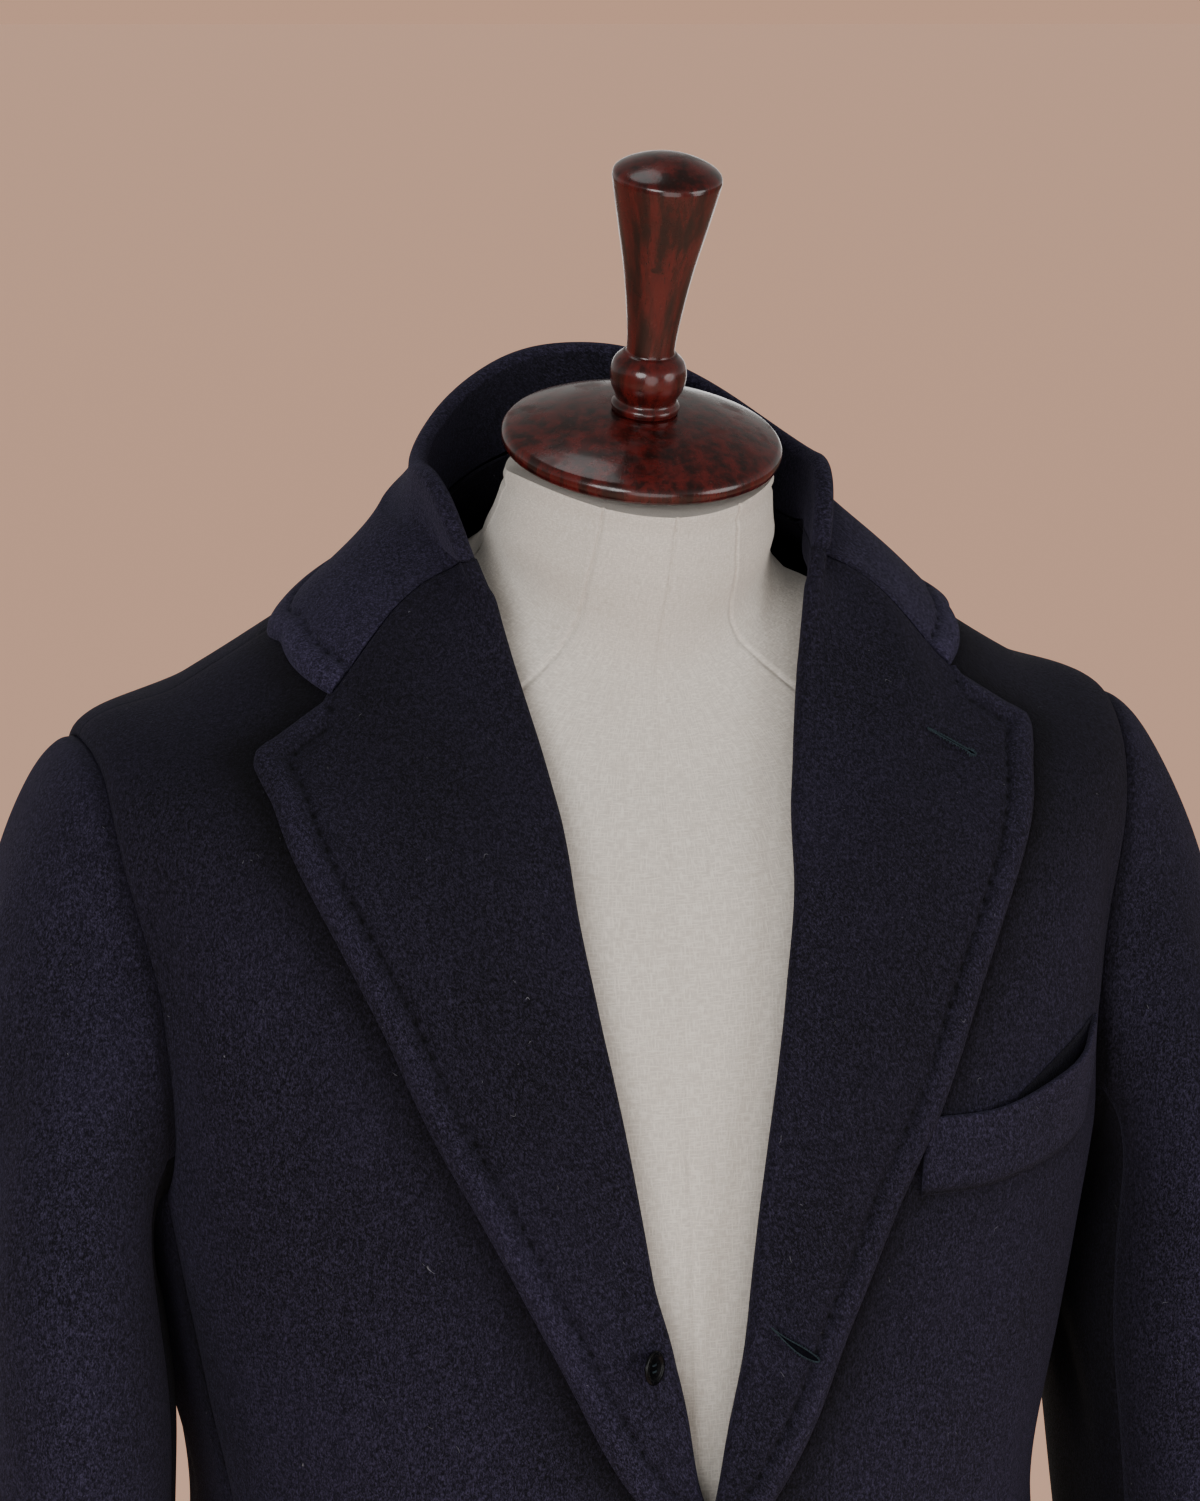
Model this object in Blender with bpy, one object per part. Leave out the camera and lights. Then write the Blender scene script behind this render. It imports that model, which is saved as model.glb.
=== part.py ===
"""Single-breasted wool overcoat on a limbless dress form, as separate closed solids.

Metres. +Z is up, the floor is z = 0 and the stand's pole is on the z axis. The coat's front
faces -Y, and +X is the wearer's left. Everything on the coat is laid out on one body surface,
which is described by rings at named levels: a place on it is (theta, level, lift), where theta
is 0 at the centre front and 180 at the centre back, level runs from 0 at the hem to 12 at the
collar's fold, and lift is the distance outwards along the surface's normal.
"""

import math
from collections import namedtuple

import bpy
import numpy as np

# ---- driving sizes ---------------------------------------------------------------------------
WALL = 0.0024            # coat cloth, one layer
LAPEL_WALL = 0.0042      # turned lapel: two layers and canvas
COLLAR_WALL = 0.0042     # collar fall
STAND_WALL = 0.0030      # collar stand
SEAM = 0.0002            # each piece stops this far short of a seam
CLEAR = 0.0004           # air between a piece and what lies on it
LAPEL_CLEAR = 0.0012     # and under a lapel, whose rows bend more
OVERLAP_LIFT = 0.0036    # the left front lies this far outside the right one
CROSSING_LIFT = 0.0040   # and this much more where it passes over the right lapel's point
FORM_INSET = 0.0090      # the dress form's surface inside the coat's
FRONT_EDGE = 0.028       # each front runs this far past the centre line

FRONT_BUTTON_RADIUS = 0.012
STAY_BUTTON_RADIUS = 0.007
MID_BUTTON_LEVEL = 3.72
LOW_BUTTON_LEVEL = 2.72

CAP_RADIUS = 0.0585
NECK_TILT = math.radians(18.0)
NECK_TOP = (0.0, -0.0385, 1.5545)   # centre of the wooden cap's underside
POLE_RADIUS = 0.0125
FORM_BOTTOM = 0.800
BASE_RADIUS = 0.190

# ---- the body surface ------------------------------------------------------------------------
Level = namedtuple("Level", "half_width side_y front_y back_y side_z front_z back_z square")
LEVELS = [
    Level(0.2520, 0.004, -0.1600, 0.152, 0.500, 0.500, 0.500, 2.2),   # 0 hem
    Level(0.2380, 0.004, -0.1550, 0.148, 0.680, 0.680, 0.680, 2.2),   # 1 thigh
    Level(0.2220, 0.003, -0.1490, 0.143, 0.860, 0.860, 0.860, 2.2),   # 2 seat
    Level(0.2030, 0.002, -0.1430, 0.132, 0.980, 0.980, 0.980, 2.2),   # 3 hip
    Level(0.1880, 0.002, -0.1390, 0.122, 1.085, 1.085, 1.085, 2.2),   # 4 waist
    Level(0.1990, 0.003, -0.1310, 0.126, 1.165, 1.165, 1.165, 2.4),   # 5 ribs
    Level(0.2120, 0.006, -0.1250, 0.136, 1.245, 1.240, 1.245, 2.6),   # 6 underarm
    Level(0.2260, 0.011, -0.1170, 0.142, 1.335, 1.305, 1.325, 2.6),   # 7 chest
    Level(0.2335, 0.018, -0.1030, 0.131, 1.427, 1.368, 1.408, 2.5),   # 8 shoulder point
    Level(0.1860, 0.016, -0.0880, 0.108, 1.453, 1.412, 1.460, 2.3),   # 9 outer shoulder
    Level(0.1350, 0.010, -0.0750, 0.086, 1.484, 1.448, 1.505, 2.1),   # 10 inner shoulder
    Level(0.0860, 0.002, -0.0680, 0.066, 1.514, 1.478, 1.543, 2.0),   # 11 neck seam
    Level(0.0830, -0.010, -0.0870, 0.062, 1.550, 1.376, 1.588, 2.0),  # 12 collar fold
]
TABLE = np.array(LEVELS)

# ---- seams and edges, as places on that surface (wearer's left half, degrees and levels) ------
Place = namedtuple("Place", "theta level")
ARMHOLE = [Place(*p) for p in (          # from the shoulder seam, forwards and round
    (90, 8.13), (79, 8.12), (71, 8.03), (66.5, 7.85), (63.8, 7.60), (62.3, 7.32), (61.5, 7.00),
    (62.0, 6.60), (64.2, 6.28), (69.0, 6.06), (77.0, 5.95), (88.0, 5.90), (100.0, 5.97),
    (109.0, 6.15), (114.0, 6.50), (116.0, 7.00), (115.0, 7.45), (111.0, 7.80), (104.0, 8.02),
    (97.0, 8.11),
)]
FRONT_SEAM_KNOT, BACK_SEAM_KNOT = 9, 13   # where the side panel's seams meet the armhole
SIDE_FRONT_SEAM = [Place(72, 0), Place(71, 2), Place(70, 4), Place(69.4, 5.3), Place(69, 6.06)]
SIDE_BACK_SEAM = [Place(113, 0), Place(111.5, 2), Place(110, 4), Place(109.4, 5.3), Place(109, 6.15)]
SKIRT_LEVELS = [0, 0.7, 1.4, 2.1, 2.8, 3.4, 3.75, 4.02]        # rows shared by all panels
TORSO_LEVELS = [4.27, 4.65, 5.1, 5.6]                          # and those above the break

ROLL = [Place(*p) for p in (             # roll line, from the break up to the gorge
    (-1.0, 4.27), (1.4, 4.52), (3.6, 4.90), (5.7, 5.30), (7.1, 5.80), (8.3, 6.30), (9.5, 6.80),
    (10.4, 7.20), (11.4, 7.65), (13.8, 8.45), (17.2, 9.05), (22.0, 9.60), (28.7, 10.10),
    (37.0, 10.50), (50.0, 11.20), (62.0, 11.90),
)]
LAPEL_EDGE = [Place(*p) for p in (       # outer edge, from the break up to the lapel's point
    (-1.0, 4.27), (4.0, 4.33), (8.0, 4.48), (12.2, 4.78), (17.5, 5.35), (21.0, 5.75), (24.7, 6.20),
    (27.3, 6.52), (29.3, 6.83), (32.6, 7.35), (37.2, 7.85), (43.8, 8.33), (49.0, 8.56),
    (54.7, 8.75),
)]
GORGE = [Place(*p) for p in (            # from the roll line out to the notch
    (62.0, 11.90), (61.2, 11.25), (60.3, 10.75), (59.2, 10.38), (57.3, 10.08), (55.3, 9.78),
    (53.5, 9.49),
)]
LAPEL_TOP = [Place(53.5, 9.49), Place(54.0, 9.24), Place(54.4, 9.00), Place(54.7, 8.75)]
FOLD = [Place(62, 11.9), Place(72, 11.94), Place(90, 11.86), Place(120, 11.92), Place(150, 12), Place(180, 12)]
COLLAR_EDGE = [Place(*p) for p in (      # from the notch round the collar's point to the back
    (53.5, 9.49), (65.0, 9.60), (76.0, 9.75), (90.0, 9.98), (108.0, 10.18), (132.0, 10.32),
    (156.0, 10.38), (180.0, 10.40),
)]
NECK_SEAM = [Place(62, 11.6), Place(75, 11.25), Place(93, 11.08), Place(125, 11.1), Place(180, 11.15)]
FRONT_FOOT = [Place(-4.5, 4.06), Place(-7.2, 3.80)]   # where each front's edge leaves its lapel

Corner = namedtuple("Corner", "theta bottom top")
CHEST_WELT = [Corner(28.2, 6.09, 6.50), Corner(36.0, 6.06, 6.48), Corner(42.5, 6.07, 6.53),
              Corner(49.0, 6.11, 6.64), Corner(55.0, 6.20, 6.75)]

Ring = namedtuple("Ring", "centre_x centre_y height half_x half_y")
SLEEVE = [
    Ring(0.2520, -0.008, 1.200, 0.0420, 0.081),
    Ring(0.2510, -0.024, 1.110, 0.0425, 0.075),
    Ring(0.2550, -0.036, 1.020, 0.0410, 0.070),
    Ring(0.2640, -0.050, 0.920, 0.0395, 0.065),
    Ring(0.2740, -0.068, 0.800, 0.0370, 0.058),
]
SLEEVE_SQUARE = 2.4

NeckRing = namedtuple("NeckRing", Level._fields)
FORM_NECK = [
    NeckRing(0.074, -0.004, -0.064, 0.052, 1.500, 1.468, 1.526, 2.0),
    NeckRing(0.0615, -0.024, -0.080, 0.032, 1.523, 1.503, 1.543, 2.0),
    NeckRing(0.056, -0.037, -0.0911, 0.0171, 1.547, 1.5325, 1.5615, 2.0),
]

Turn = namedtuple("Turn", "along radius")   # along the neck's axis, from the cap's underside
CAP_PROFILE = [Turn(0.0004, 0.0), Turn(0.0004, 0.0565), Turn(0.0015, CAP_RADIUS),
               Turn(0.0060, 0.0590), Turn(0.0088, 0.0570), Turn(0.0130, 0.0470),
               Turn(0.0165, 0.0330), Turn(0.0185, 0.0180), Turn(0.0190, 0.0)]
FINIAL_PROFILE = [Turn(0.0194, 0.0), Turn(0.0194, 0.0140), Turn(0.0218, 0.0144), Turn(0.0242, 0.0129),
                  Turn(0.0262, 0.0134), Turn(0.0305, 0.0154), Turn(0.0356, 0.0160),
                  Turn(0.0405, 0.0149), Turn(0.0442, 0.0116), Turn(0.0466, 0.0101),
                  Turn(0.0600, 0.0113), Turn(0.0800, 0.0143), Turn(0.1010, 0.0187),
                  Turn(0.1180, 0.0222), Turn(0.1216, 0.0226), Turn(0.1238, 0.0216),
                  Turn(0.1262, 0.0178), Turn(0.1286, 0.0118), Turn(0.1300, 0.0060),
                  Turn(0.1304, 0.0)]
BASE_PROFILE = [Turn(0.0, 0.0), Turn(0.0, 0.184), Turn(0.003, BASE_RADIUS), Turn(0.010, BASE_RADIUS),
                Turn(0.014, 0.186), Turn(0.018, 0.150), Turn(0.023, 0.090), Turn(0.030, 0.046),
                Turn(0.040, 0.026), Turn(0.052, 0.020), Turn(0.060, 0.019), Turn(0.060, 0.0)]
BUTTON_PROFILE = [Turn(0.0, 0.0), Turn(0.0, 0.62), Turn(0.06, 0.86), Turn(0.14, 0.99), Turn(0.20, 1.0),
                  Turn(0.26, 0.97), Turn(0.29, 0.88), Turn(0.27, 0.76), Turn(0.20, 0.66), Turn(0.18, 0.0)]


# ---- geometry helpers --------------------------------------------------------------------------
def spline(values, at):
    """Catmull-Rom through rows of values, at places counted in rows."""
    values = np.asarray(values, float)
    at = np.asarray(at, float)
    last = len(values) - 1
    i = np.clip(np.floor(at).astype(int), 0, last - 1)
    f = (at - i).reshape(at.shape + (1,) * (values.ndim - 1))
    p1, p2 = values[i], values[i + 1]
    first = (i > 0).reshape(f.shape)
    final = (i + 2 <= last).reshape(f.shape)
    p0 = np.where(first, values[np.maximum(i - 1, 0)], 2 * p1 - p2)
    p3 = np.where(final, values[np.minimum(i + 2, last)], 2 * p2 - p1)
    m1, m2 = (p2 - p0) / 2, (p3 - p1) / 2
    return ((2 * f**3 - 3 * f**2 + 1) * p1 + (f**3 - 2 * f**2 + f) * m1
            + (-2 * f**3 + 3 * f**2) * p2 + (f**3 - f**2) * m2)


def ring_point(row, theta):
    """Points at theta (radians) on rings whose sizes are the last axis of row."""
    half_width, side_y, front_y, back_y, side_z, front_z, back_z, square = np.moveaxis(row, -1, 0)
    s, c = np.sin(theta), np.cos(theta)
    reach = (np.abs(s) ** square + np.abs(c) ** square) ** (-1 / square)
    end_y = np.where(c >= 0, front_y, back_y)
    end_z = np.where(c >= 0, front_z, back_z)
    return np.stack([half_width * s * reach, side_y + (end_y - side_y) * np.abs(c) * reach,
                     side_z + (end_z - side_z) * c * c], -1)


def on_body(theta, level):
    theta, level = np.broadcast_arrays(np.radians(np.asarray(theta, float)), np.asarray(level, float))
    return ring_point(spline(TABLE, level), theta)


def body_normal(theta, level):
    round_it = on_body(np.asarray(theta) + 0.1, level) - on_body(np.asarray(theta) - 0.1, level)
    upwards = on_body(theta, np.asarray(level) + 2e-3) - on_body(theta, np.asarray(level) - 2e-3)
    normal = np.cross(round_it, upwards)
    return normal / np.linalg.norm(normal, axis=-1, keepdims=True)


def unit(vector):
    return vector / np.maximum(np.linalg.norm(vector, axis=-1, keepdims=True), 1e-12)


def smoothstep(x, low, high):
    f = np.clip((np.asarray(x, float) - low) / (high - low), 0, 1)
    return f * f * (3 - 2 * f)


def even(places, count):
    """count places along a smooth curve through these ones, evenly spaced on the body."""
    table = np.array(places, float)
    fine = spline(table, np.linspace(0, len(table) - 1, 40 * len(table)))
    step = np.linalg.norm(np.diff(on_body(fine[:, 0], fine[:, 1]), axis=0), axis=1)
    run = np.concatenate([[0], np.cumsum(step)])
    want = np.linspace(0, run[-1], count)
    return np.stack([np.interp(want, run, fine[:, k]) for k in (0, 1)], -1)


def theta_at_level(places, levels):
    table = np.array(places, float)
    return np.interp(levels, table[:, 1], table[:, 0])


def edge_theta(levels):
    """Theta of the front edge: FRONT_EDGE past the centre line."""
    rows = spline(TABLE, np.asarray(levels, float))
    return -np.degrees(np.arctan2(FRONT_EDGE / rows[:, 0], 1.0))


def overlap_lift(theta, level, side):
    """How far the left front stands outside the body surface. The right one lies on it."""
    if side < 0:
        return np.zeros(np.broadcast(theta, level).shape)
    theta, level = np.broadcast_arrays(theta, level)
    skirt = OVERLAP_LIFT * (1 - smoothstep(theta, 12, 26)) * (1 - smoothstep(level, 4.9, 6.2))
    crossing = CROSSING_LIFT * (1 - smoothstep(theta, 3, 12)) * np.exp(-((level - 4.35) / 0.35) ** 2)
    return skirt + crossing


# ---- mesh helpers ------------------------------------------------------------------------------
MATERIALS = {
    "coat_wool": ((0.012, 0.012, 0.018, 1), 0.9),
    "button_dark": ((0.010, 0.010, 0.012, 1), 0.3),
    "form_canvas": ((0.560, 0.510, 0.470, 1), 0.9),
    "turned_wood": ((0.085, 0.020, 0.014, 1), 0.25),
    "stand_paint": ((0.020, 0.020, 0.022, 1), 0.4),
}


def material(slot):
    found = bpy.data.materials.get(slot)
    if found:
        return found
    made = bpy.data.materials.new(slot)
    made.use_nodes = True
    shader = made.node_tree.nodes["Principled BSDF"]
    shader.inputs["Base Color"].default_value = MATERIALS[slot][0]
    shader.inputs["Roughness"].default_value = MATERIALS[slot][1]
    return made


def add_mesh(name, points, faces, slot):
    points = np.asarray(points, float)
    mesh = bpy.data.meshes.new(name)
    mesh.from_pydata([tuple(p) for p in points], [], [tuple(int(i) for i in f) for f in faces])
    mesh.update()
    obj = bpy.data.objects.new(name, mesh)
    bpy.context.scene.collection.objects.link(obj)
    turn_outwards(mesh)
    own = material(slot).copy()
    own.name = f"{slot}.{name}"
    mesh.materials.append(own)
    return obj


def turn_outwards(mesh):
    """Flips every face if the solid's signed volume is negative."""
    mesh.calc_loop_triangles()
    points = np.empty(len(mesh.vertices) * 3)
    mesh.vertices.foreach_get("co", points)
    corners = np.empty(len(mesh.loop_triangles) * 3, int)
    mesh.loop_triangles.foreach_get("vertices", corners)
    if np.linalg.det(points.reshape(-1, 3)[corners.reshape(-1, 3)]).sum() < 0:
        mesh.flip_normals()
        mesh.update()


def slab(name, outer, inner, slot):
    """A closed wall between two grids of points of the same shape."""
    rows, columns = outer.shape[:2]
    points = np.concatenate([outer.reshape(-1, 3), inner.reshape(-1, 3)])
    at = np.arange(rows * columns).reshape(rows, columns)
    under = at + rows * columns
    faces = []
    for i in range(rows - 1):
        for j in range(columns - 1):
            faces.append((at[i, j], at[i, j + 1], at[i + 1, j + 1], at[i + 1, j]))
            faces.append((under[i, j], under[i + 1, j], under[i + 1, j + 1], under[i, j + 1]))
    rim = ([(0, j) for j in range(columns - 1)] + [(i, columns - 1) for i in range(rows - 1)]
           + [(rows - 1, j) for j in range(columns - 1, 0, -1)] + [(i, 0) for i in range(rows - 1, 0, -1)])
    for (a, b) in zip(rim, rim[1:] + rim[:1]):
        faces.append((at[b], at[a], under[a], under[b]))
    return add_mesh(name, points, faces, slot)


def swept(name, loops, slot):
    """A closed solid through closed loops of points, capped at both ends."""
    loops = np.asarray(loops)
    rows, columns = loops.shape[:2]
    at = np.arange(rows * columns).reshape(rows, columns)
    faces = []
    for i in range(rows - 1):
        for j in range(columns):
            k = (j + 1) % columns
            faces.append((at[i, j], at[i, k], at[i + 1, k], at[i + 1, j]))
    points = loops.reshape(-1, 3)
    for row, order in ((0, -1), (rows - 1, 1)):
        centre = len(points)
        points = np.concatenate([points, points[at[row]].mean(axis=0, keepdims=True)])
        for j in range(columns):
            pair = (at[row, j], at[row, (j + 1) % columns])
            faces.append((*pair[::order], centre))
    return add_mesh(name, points, faces, slot)


def swept_strip(name, loops, split, slot):
    """As swept, but each end is closed by a strip across the loop, which suits a folded section.

    split lists pairs of loop places that face one another, from one end of the section to the
    other; the loop's points are split[k][0] on one side and split[k][1] on the other.
    """
    loops = np.asarray(loops)
    rows, columns = loops.shape[:2]
    at = np.arange(rows * columns).reshape(rows, columns)
    faces = []
    for i in range(rows - 1):
        for j in range(columns):
            k = (j + 1) % columns
            faces.append((at[i, j], at[i, k], at[i + 1, k], at[i + 1, j]))
    for row, order in ((0, -1), (rows - 1, 1)):
        for (a, b), (c, d) in zip(split, split[1:]):
            ring = [at[row, a], at[row, c], at[row, d], at[row, b]]
            ring = [p for n, p in enumerate(ring) if p not in ring[:n]]
            faces.append(tuple(ring[::order]))
    return add_mesh(name, loops.reshape(-1, 3), faces, slot)


def lathe(name, profile, origin, axis, slot, segments=40, scale=1.0):
    """A closed turned solid. The profile starts and ends on the axis."""
    axis = unit(np.array(axis, float))
    side = unit(np.cross((0.0, 1.0, 0.0) if abs(axis[1]) < 0.9 else (1.0, 0.0, 0.0), axis))
    other = np.cross(axis, side)
    angle = np.linspace(0, 2 * np.pi, segments, endpoint=False)
    spin = np.cos(angle)[:, None] * side + np.sin(angle)[:, None] * other
    points = [np.array(origin) + axis * profile[0].along * scale]
    for turn in profile[1:-1]:
        points.extend(np.array(origin) + axis * turn.along * scale + spin * turn.radius * scale)
    points.append(np.array(origin) + axis * profile[-1].along * scale)
    faces = []
    rings = len(profile) - 2
    for j in range(segments):
        k = (j + 1) % segments
        faces.append((0, 1 + k, 1 + j))
        for i in range(rings - 1):
            a, b = 1 + i * segments, 1 + (i + 1) * segments
            faces.append((a + j, a + k, b + k, b + j))
        end = 1 + (rings - 1) * segments
        faces.append((end + j, end + k, len(points) - 1))
    return add_mesh(name, points, faces, slot)


def mirrored(points, side):
    """The wearer's left half as it is, the right one mirrored."""
    return points * np.array([side, 1.0, 1.0])


def short_of_seams(grid, first_row=True, last_row=True, first_column=True, last_column=True):
    """Moves a grid's edges inwards along its own lines, to leave the seams open."""
    grid = grid.copy()
    if first_column:
        grid[:, 0] += SEAM * unit(grid[:, 1] - grid[:, 0])
    if last_column:
        grid[:, -1] += SEAM * unit(grid[:, -2] - grid[:, -1])
    if first_row:
        grid[0] += SEAM * unit(grid[1] - grid[0])
    if last_row:
        grid[-1] += SEAM * unit(grid[-2] - grid[-1])
    return grid


def lay_panel(name, places, side, slot="coat_wool", lift=0.0, wall=WALL, **seams):
    """One cloth panel on the body surface from its grid of places (rows, columns, 2)."""
    theta, level = places[..., 0], places[..., 1]
    base = on_body(theta, level)
    normal = body_normal(theta, level)
    height = np.asarray(lift)[..., None] if np.ndim(lift) else lift
    inner = short_of_seams(base + normal * height, **seams)
    outer = inner + normal * wall
    return slab(name, mirrored(outer, side), mirrored(inner, side), slot)


# ---- shared samples ----------------------------------------------------------------------------
ARM_STEPS = 2
_closed = ARMHOLE[-2:] + ARMHOLE + ARMHOLE[:2]
ARM_SAMPLES = spline(np.array(_closed, float),
                     2 + np.arange(len(ARMHOLE) * ARM_STEPS) / ARM_STEPS)
FRONT_AT, BACK_AT = FRONT_SEAM_KNOT * ARM_STEPS, BACK_SEAM_KNOT * ARM_STEPS
SIDE_LEVELS = SKIRT_LEVELS + TORSO_LEVELS
COLUMNS = 8


def rows_between(first, second, columns):
    f = np.linspace(0, 1, columns)[None, :, None]
    return first[:, None, :] * (1 - f) + second[:, None, :] * f


def seam_samples(seam, top):
    levels = np.array(SIDE_LEVELS)
    below = np.stack([theta_at_level(seam, levels), levels], -1)
    return np.concatenate([below, [top]])


def side_panel():
    """From the front side seam to the back one, under the arm."""
    front = seam_samples(SIDE_FRONT_SEAM, ARM_SAMPLES[FRONT_AT])
    back = seam_samples(SIDE_BACK_SEAM, ARM_SAMPLES[BACK_AT])
    underarm = ARM_SAMPLES[FRONT_AT:BACK_AT + 1]
    places = rows_between(front, back, len(underarm))
    bend = underarm - places[-1]
    weight = np.linspace(0, 1, len(places)) ** 6
    return places + weight[:, None, None] * bend


def roll_samples():
    """Roll line places, as many as the armhole rows that face them."""
    rows = len(TORSO_LEVELS) + 1 + FRONT_AT - NECK_ROWS
    return even(ROLL, rows)


NECK_ROWS = 4      # rows that end on the neck seam instead of the roll line


def front_panel():
    """From the front edge and roll line to the side seam and armhole."""
    skirt = np.array(SKIRT_LEVELS, float)
    edge = np.stack([edge_theta(skirt), skirt], -1)
    edge[-1] = FRONT_FOOT[0]
    edge[-2] = FRONT_FOOT[1]
    roll = roll_samples()
    neck = even(NECK_SEAM[:3], NECK_ROWS + 1)
    inner = np.concatenate([edge, roll[:-1], neck])
    side_seam = seam_samples(SIDE_FRONT_SEAM, ARM_SAMPLES[FRONT_AT])
    armhole = ARM_SAMPLES[FRONT_AT - 1::-1]
    outer = np.concatenate([side_seam, armhole])
    inner = inner[:len(outer)]
    return rows_between(inner, outer, COLUMNS)


def back_panel():
    """From the centre back and the neck seam to the side seam and armhole."""
    side_seam = seam_samples(SIDE_BACK_SEAM, ARM_SAMPLES[BACK_AT])
    armhole = np.concatenate([ARM_SAMPLES[BACK_AT + 1:], ARM_SAMPLES[:1]])
    outer = np.concatenate([side_seam, armhole])
    across = 5
    spine = np.stack([np.full(len(outer) - across, 180.0),
                      np.concatenate([SIDE_LEVELS, np.linspace(6.1, 11.15, len(outer) - across
                                                               - len(SIDE_LEVELS))])], -1)
    neck = even(NECK_SEAM[:1:-1], across + 1)[1:]
    return rows_between(np.concatenate([spine, neck]), outer, COLUMNS)


# ---- lapels and collar -------------------------------------------------------------------------
GORGE_COLUMNS, TOP_COLUMNS = 6, 3


def collar_bulge(v):
    """Lift of the collar and the lapel's top over the hollow of the neck."""
    return 0.0045 * np.sin(np.pi * np.clip(v, 0, 1)) ** 2


def lapel_places():
    roll = roll_samples()
    edge = even(LAPEL_EDGE, len(roll))
    top = np.concatenate([even(GORGE, GORGE_COLUMNS + 1), even(LAPEL_TOP, TOP_COLUMNS + 1)[1:]])
    step = np.linalg.norm(np.diff(on_body(top[:, 0], top[:, 1]), axis=0), axis=1)
    v = np.concatenate([[0], np.cumsum(step)]) / step.sum()
    places = roll[:, None] * (1 - v)[None, :, None] + edge[:, None] * v[None, :, None]
    weight = np.linspace(0, 1, len(roll)) ** 5
    return places + weight[:, None, None] * (top - places[-1])[None], v


def lapel(name, side):
    places, v = lapel_places()
    places = places[1:]
    rows = np.linspace(0, 1, len(places) + 1)[1:]
    wall = LAPEL_WALL * (0.45 + 0.55 * smoothstep(rows, 0, 0.16))
    loops = []
    for row, (line, thick) in enumerate(zip(places, wall)):
        theta, level = line[:, 0], line[:, 1]
        base, normal = on_body(theta, level), body_normal(theta, level)
        lift = overlap_lift(theta, level, side)
        gorge = v / v[GORGE_COLUMNS]
        swell = collar_bulge(gorge) * rows[row] ** 6
        under = lift + WALL + LAPEL_CLEAR + swell
        over = under + thick
        outwards = unit(base[0] - base[1])
        away = unit(base[-1] - base[-2])
        top = base + normal * over[:, None]
        bottom = base + normal * under[:, None]
        foot = base[0] + normal[0] * lift[0]
        if row == len(places) - 1:
            shift = SEAM * unit(on_body(places[row - 1, :, 0], places[row - 1, :, 1]) - base)
            top, bottom, foot = top + shift, bottom + shift, foot + shift[0]
        radius = over[0] / 2 - lift[0] / 2
        middle = (top[0] + foot) / 2
        up = unit(top[0] - foot)
        bulb = [middle + radius * (outwards * math.sin(a) + up * math.cos(a))
                for a in np.radians([145, 110, 75, 35])]
        rim = [(top[-1] + bottom[-1]) / 2 + away * 0.0009]
        loops.append(np.concatenate([top, rim, bottom[::-1], [foot], bulb]))
    columns = len(v)
    last = 2 * columns
    split = [(columns, columns)]
    split += [(columns + 1 + k, columns - 1 - k) for k in range(columns)]
    split += [(last + 1, last + 5), (last + 2, last + 4), (last + 3, last + 3)]
    loops = [mirrored(loop, side) for loop in loops]
    return swept_strip(name, loops, split, "coat_wool")


COLLAR_HALF_ROWS = 13


def collar_places():
    """Places of the fall, rows from the gorge to the centre back."""
    fold = even(FOLD, COLLAR_HALF_ROWS)
    table = even(COLLAR_EDGE[:3], 4)
    rest = even(COLLAR_EDGE[2:], COLLAR_HALF_ROWS - 3)
    edge = np.concatenate([table, rest[1:]])
    gorge = even(GORGE, GORGE_COLUMNS + 1)
    step = np.linalg.norm(np.diff(on_body(gorge[:, 0], gorge[:, 1]), axis=0), axis=1)
    v = np.concatenate([[0], np.cumsum(step)]) / step.sum()
    places = fold[:, None] * (1 - v)[None, :, None] + edge[:, None] * v[None, :, None]
    weight = (1 - np.linspace(0, 1, COLLAR_HALF_ROWS)) ** 4
    return places + weight[:, None, None] * (gorge - places[0])[None], v


def collar_half():
    """Loops of the folded collar's section, from the gorge to the centre back."""
    places, v = collar_places()
    seam = even(NECK_SEAM, 60)
    loops = []
    for row, line in enumerate(places):
        theta, level = line[:, 0], line[:, 1]
        base, normal = on_body(theta, level), body_normal(theta, level)
        far = row / (COLLAR_HALF_ROWS - 1)
        bulge = collar_bulge(v) + 0.0100 * smoothstep(far, 0.08, 0.40) * np.sin(np.pi * v ** 0.8) ** 2
        under = WALL + LAPEL_CLEAR + 0.0004 * (1 - v) + bulge
        over = under + COLLAR_WALL
        stand_level = np.interp(theta[0], seam[:, 0], seam[:, 1]) + 0.045
        stand_at = np.linspace(level[0], min(stand_level, level[0] - 0.12), 4)
        stand = on_body(theta[0], stand_at)
        out = body_normal(theta[0], stand_at)
        inside, outside = stand, stand + out * STAND_WALL
        outside[0] = stand[0] + out[0] * (STAND_WALL - 0.0002)
        top = base + normal * over[:, None]
        bottom = base + normal * under[:, None]
        up = unit(on_body(theta[0], level[0] + 0.01) - on_body(theta[0], level[0] - 0.01))
        middle = (top[0] + inside[0]) / 2
        radius = np.linalg.norm(top[0] - inside[0]) / 2
        across = unit(top[0] - inside[0])
        crown = [middle + radius * (up * math.sin(a) + across * math.cos(a))
                 for a in np.radians([35, 72, 108, 145])]
        away = unit(base[-1] - base[-2])
        rim = [(top[-1] + bottom[-1]) / 2 + away * 0.0009]
        pinch = [(outside[0] + bottom[0]) / 2 + up * 0.0006]
        loop = np.concatenate([top[::-1], crown, inside, outside[::-1], pinch, bottom, rim])
        loops.append(loop)
    along = unit(loops[1] - loops[0])
    loops[0] = loops[0] + 5 * SEAM * along
    return loops, len(v)


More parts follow.
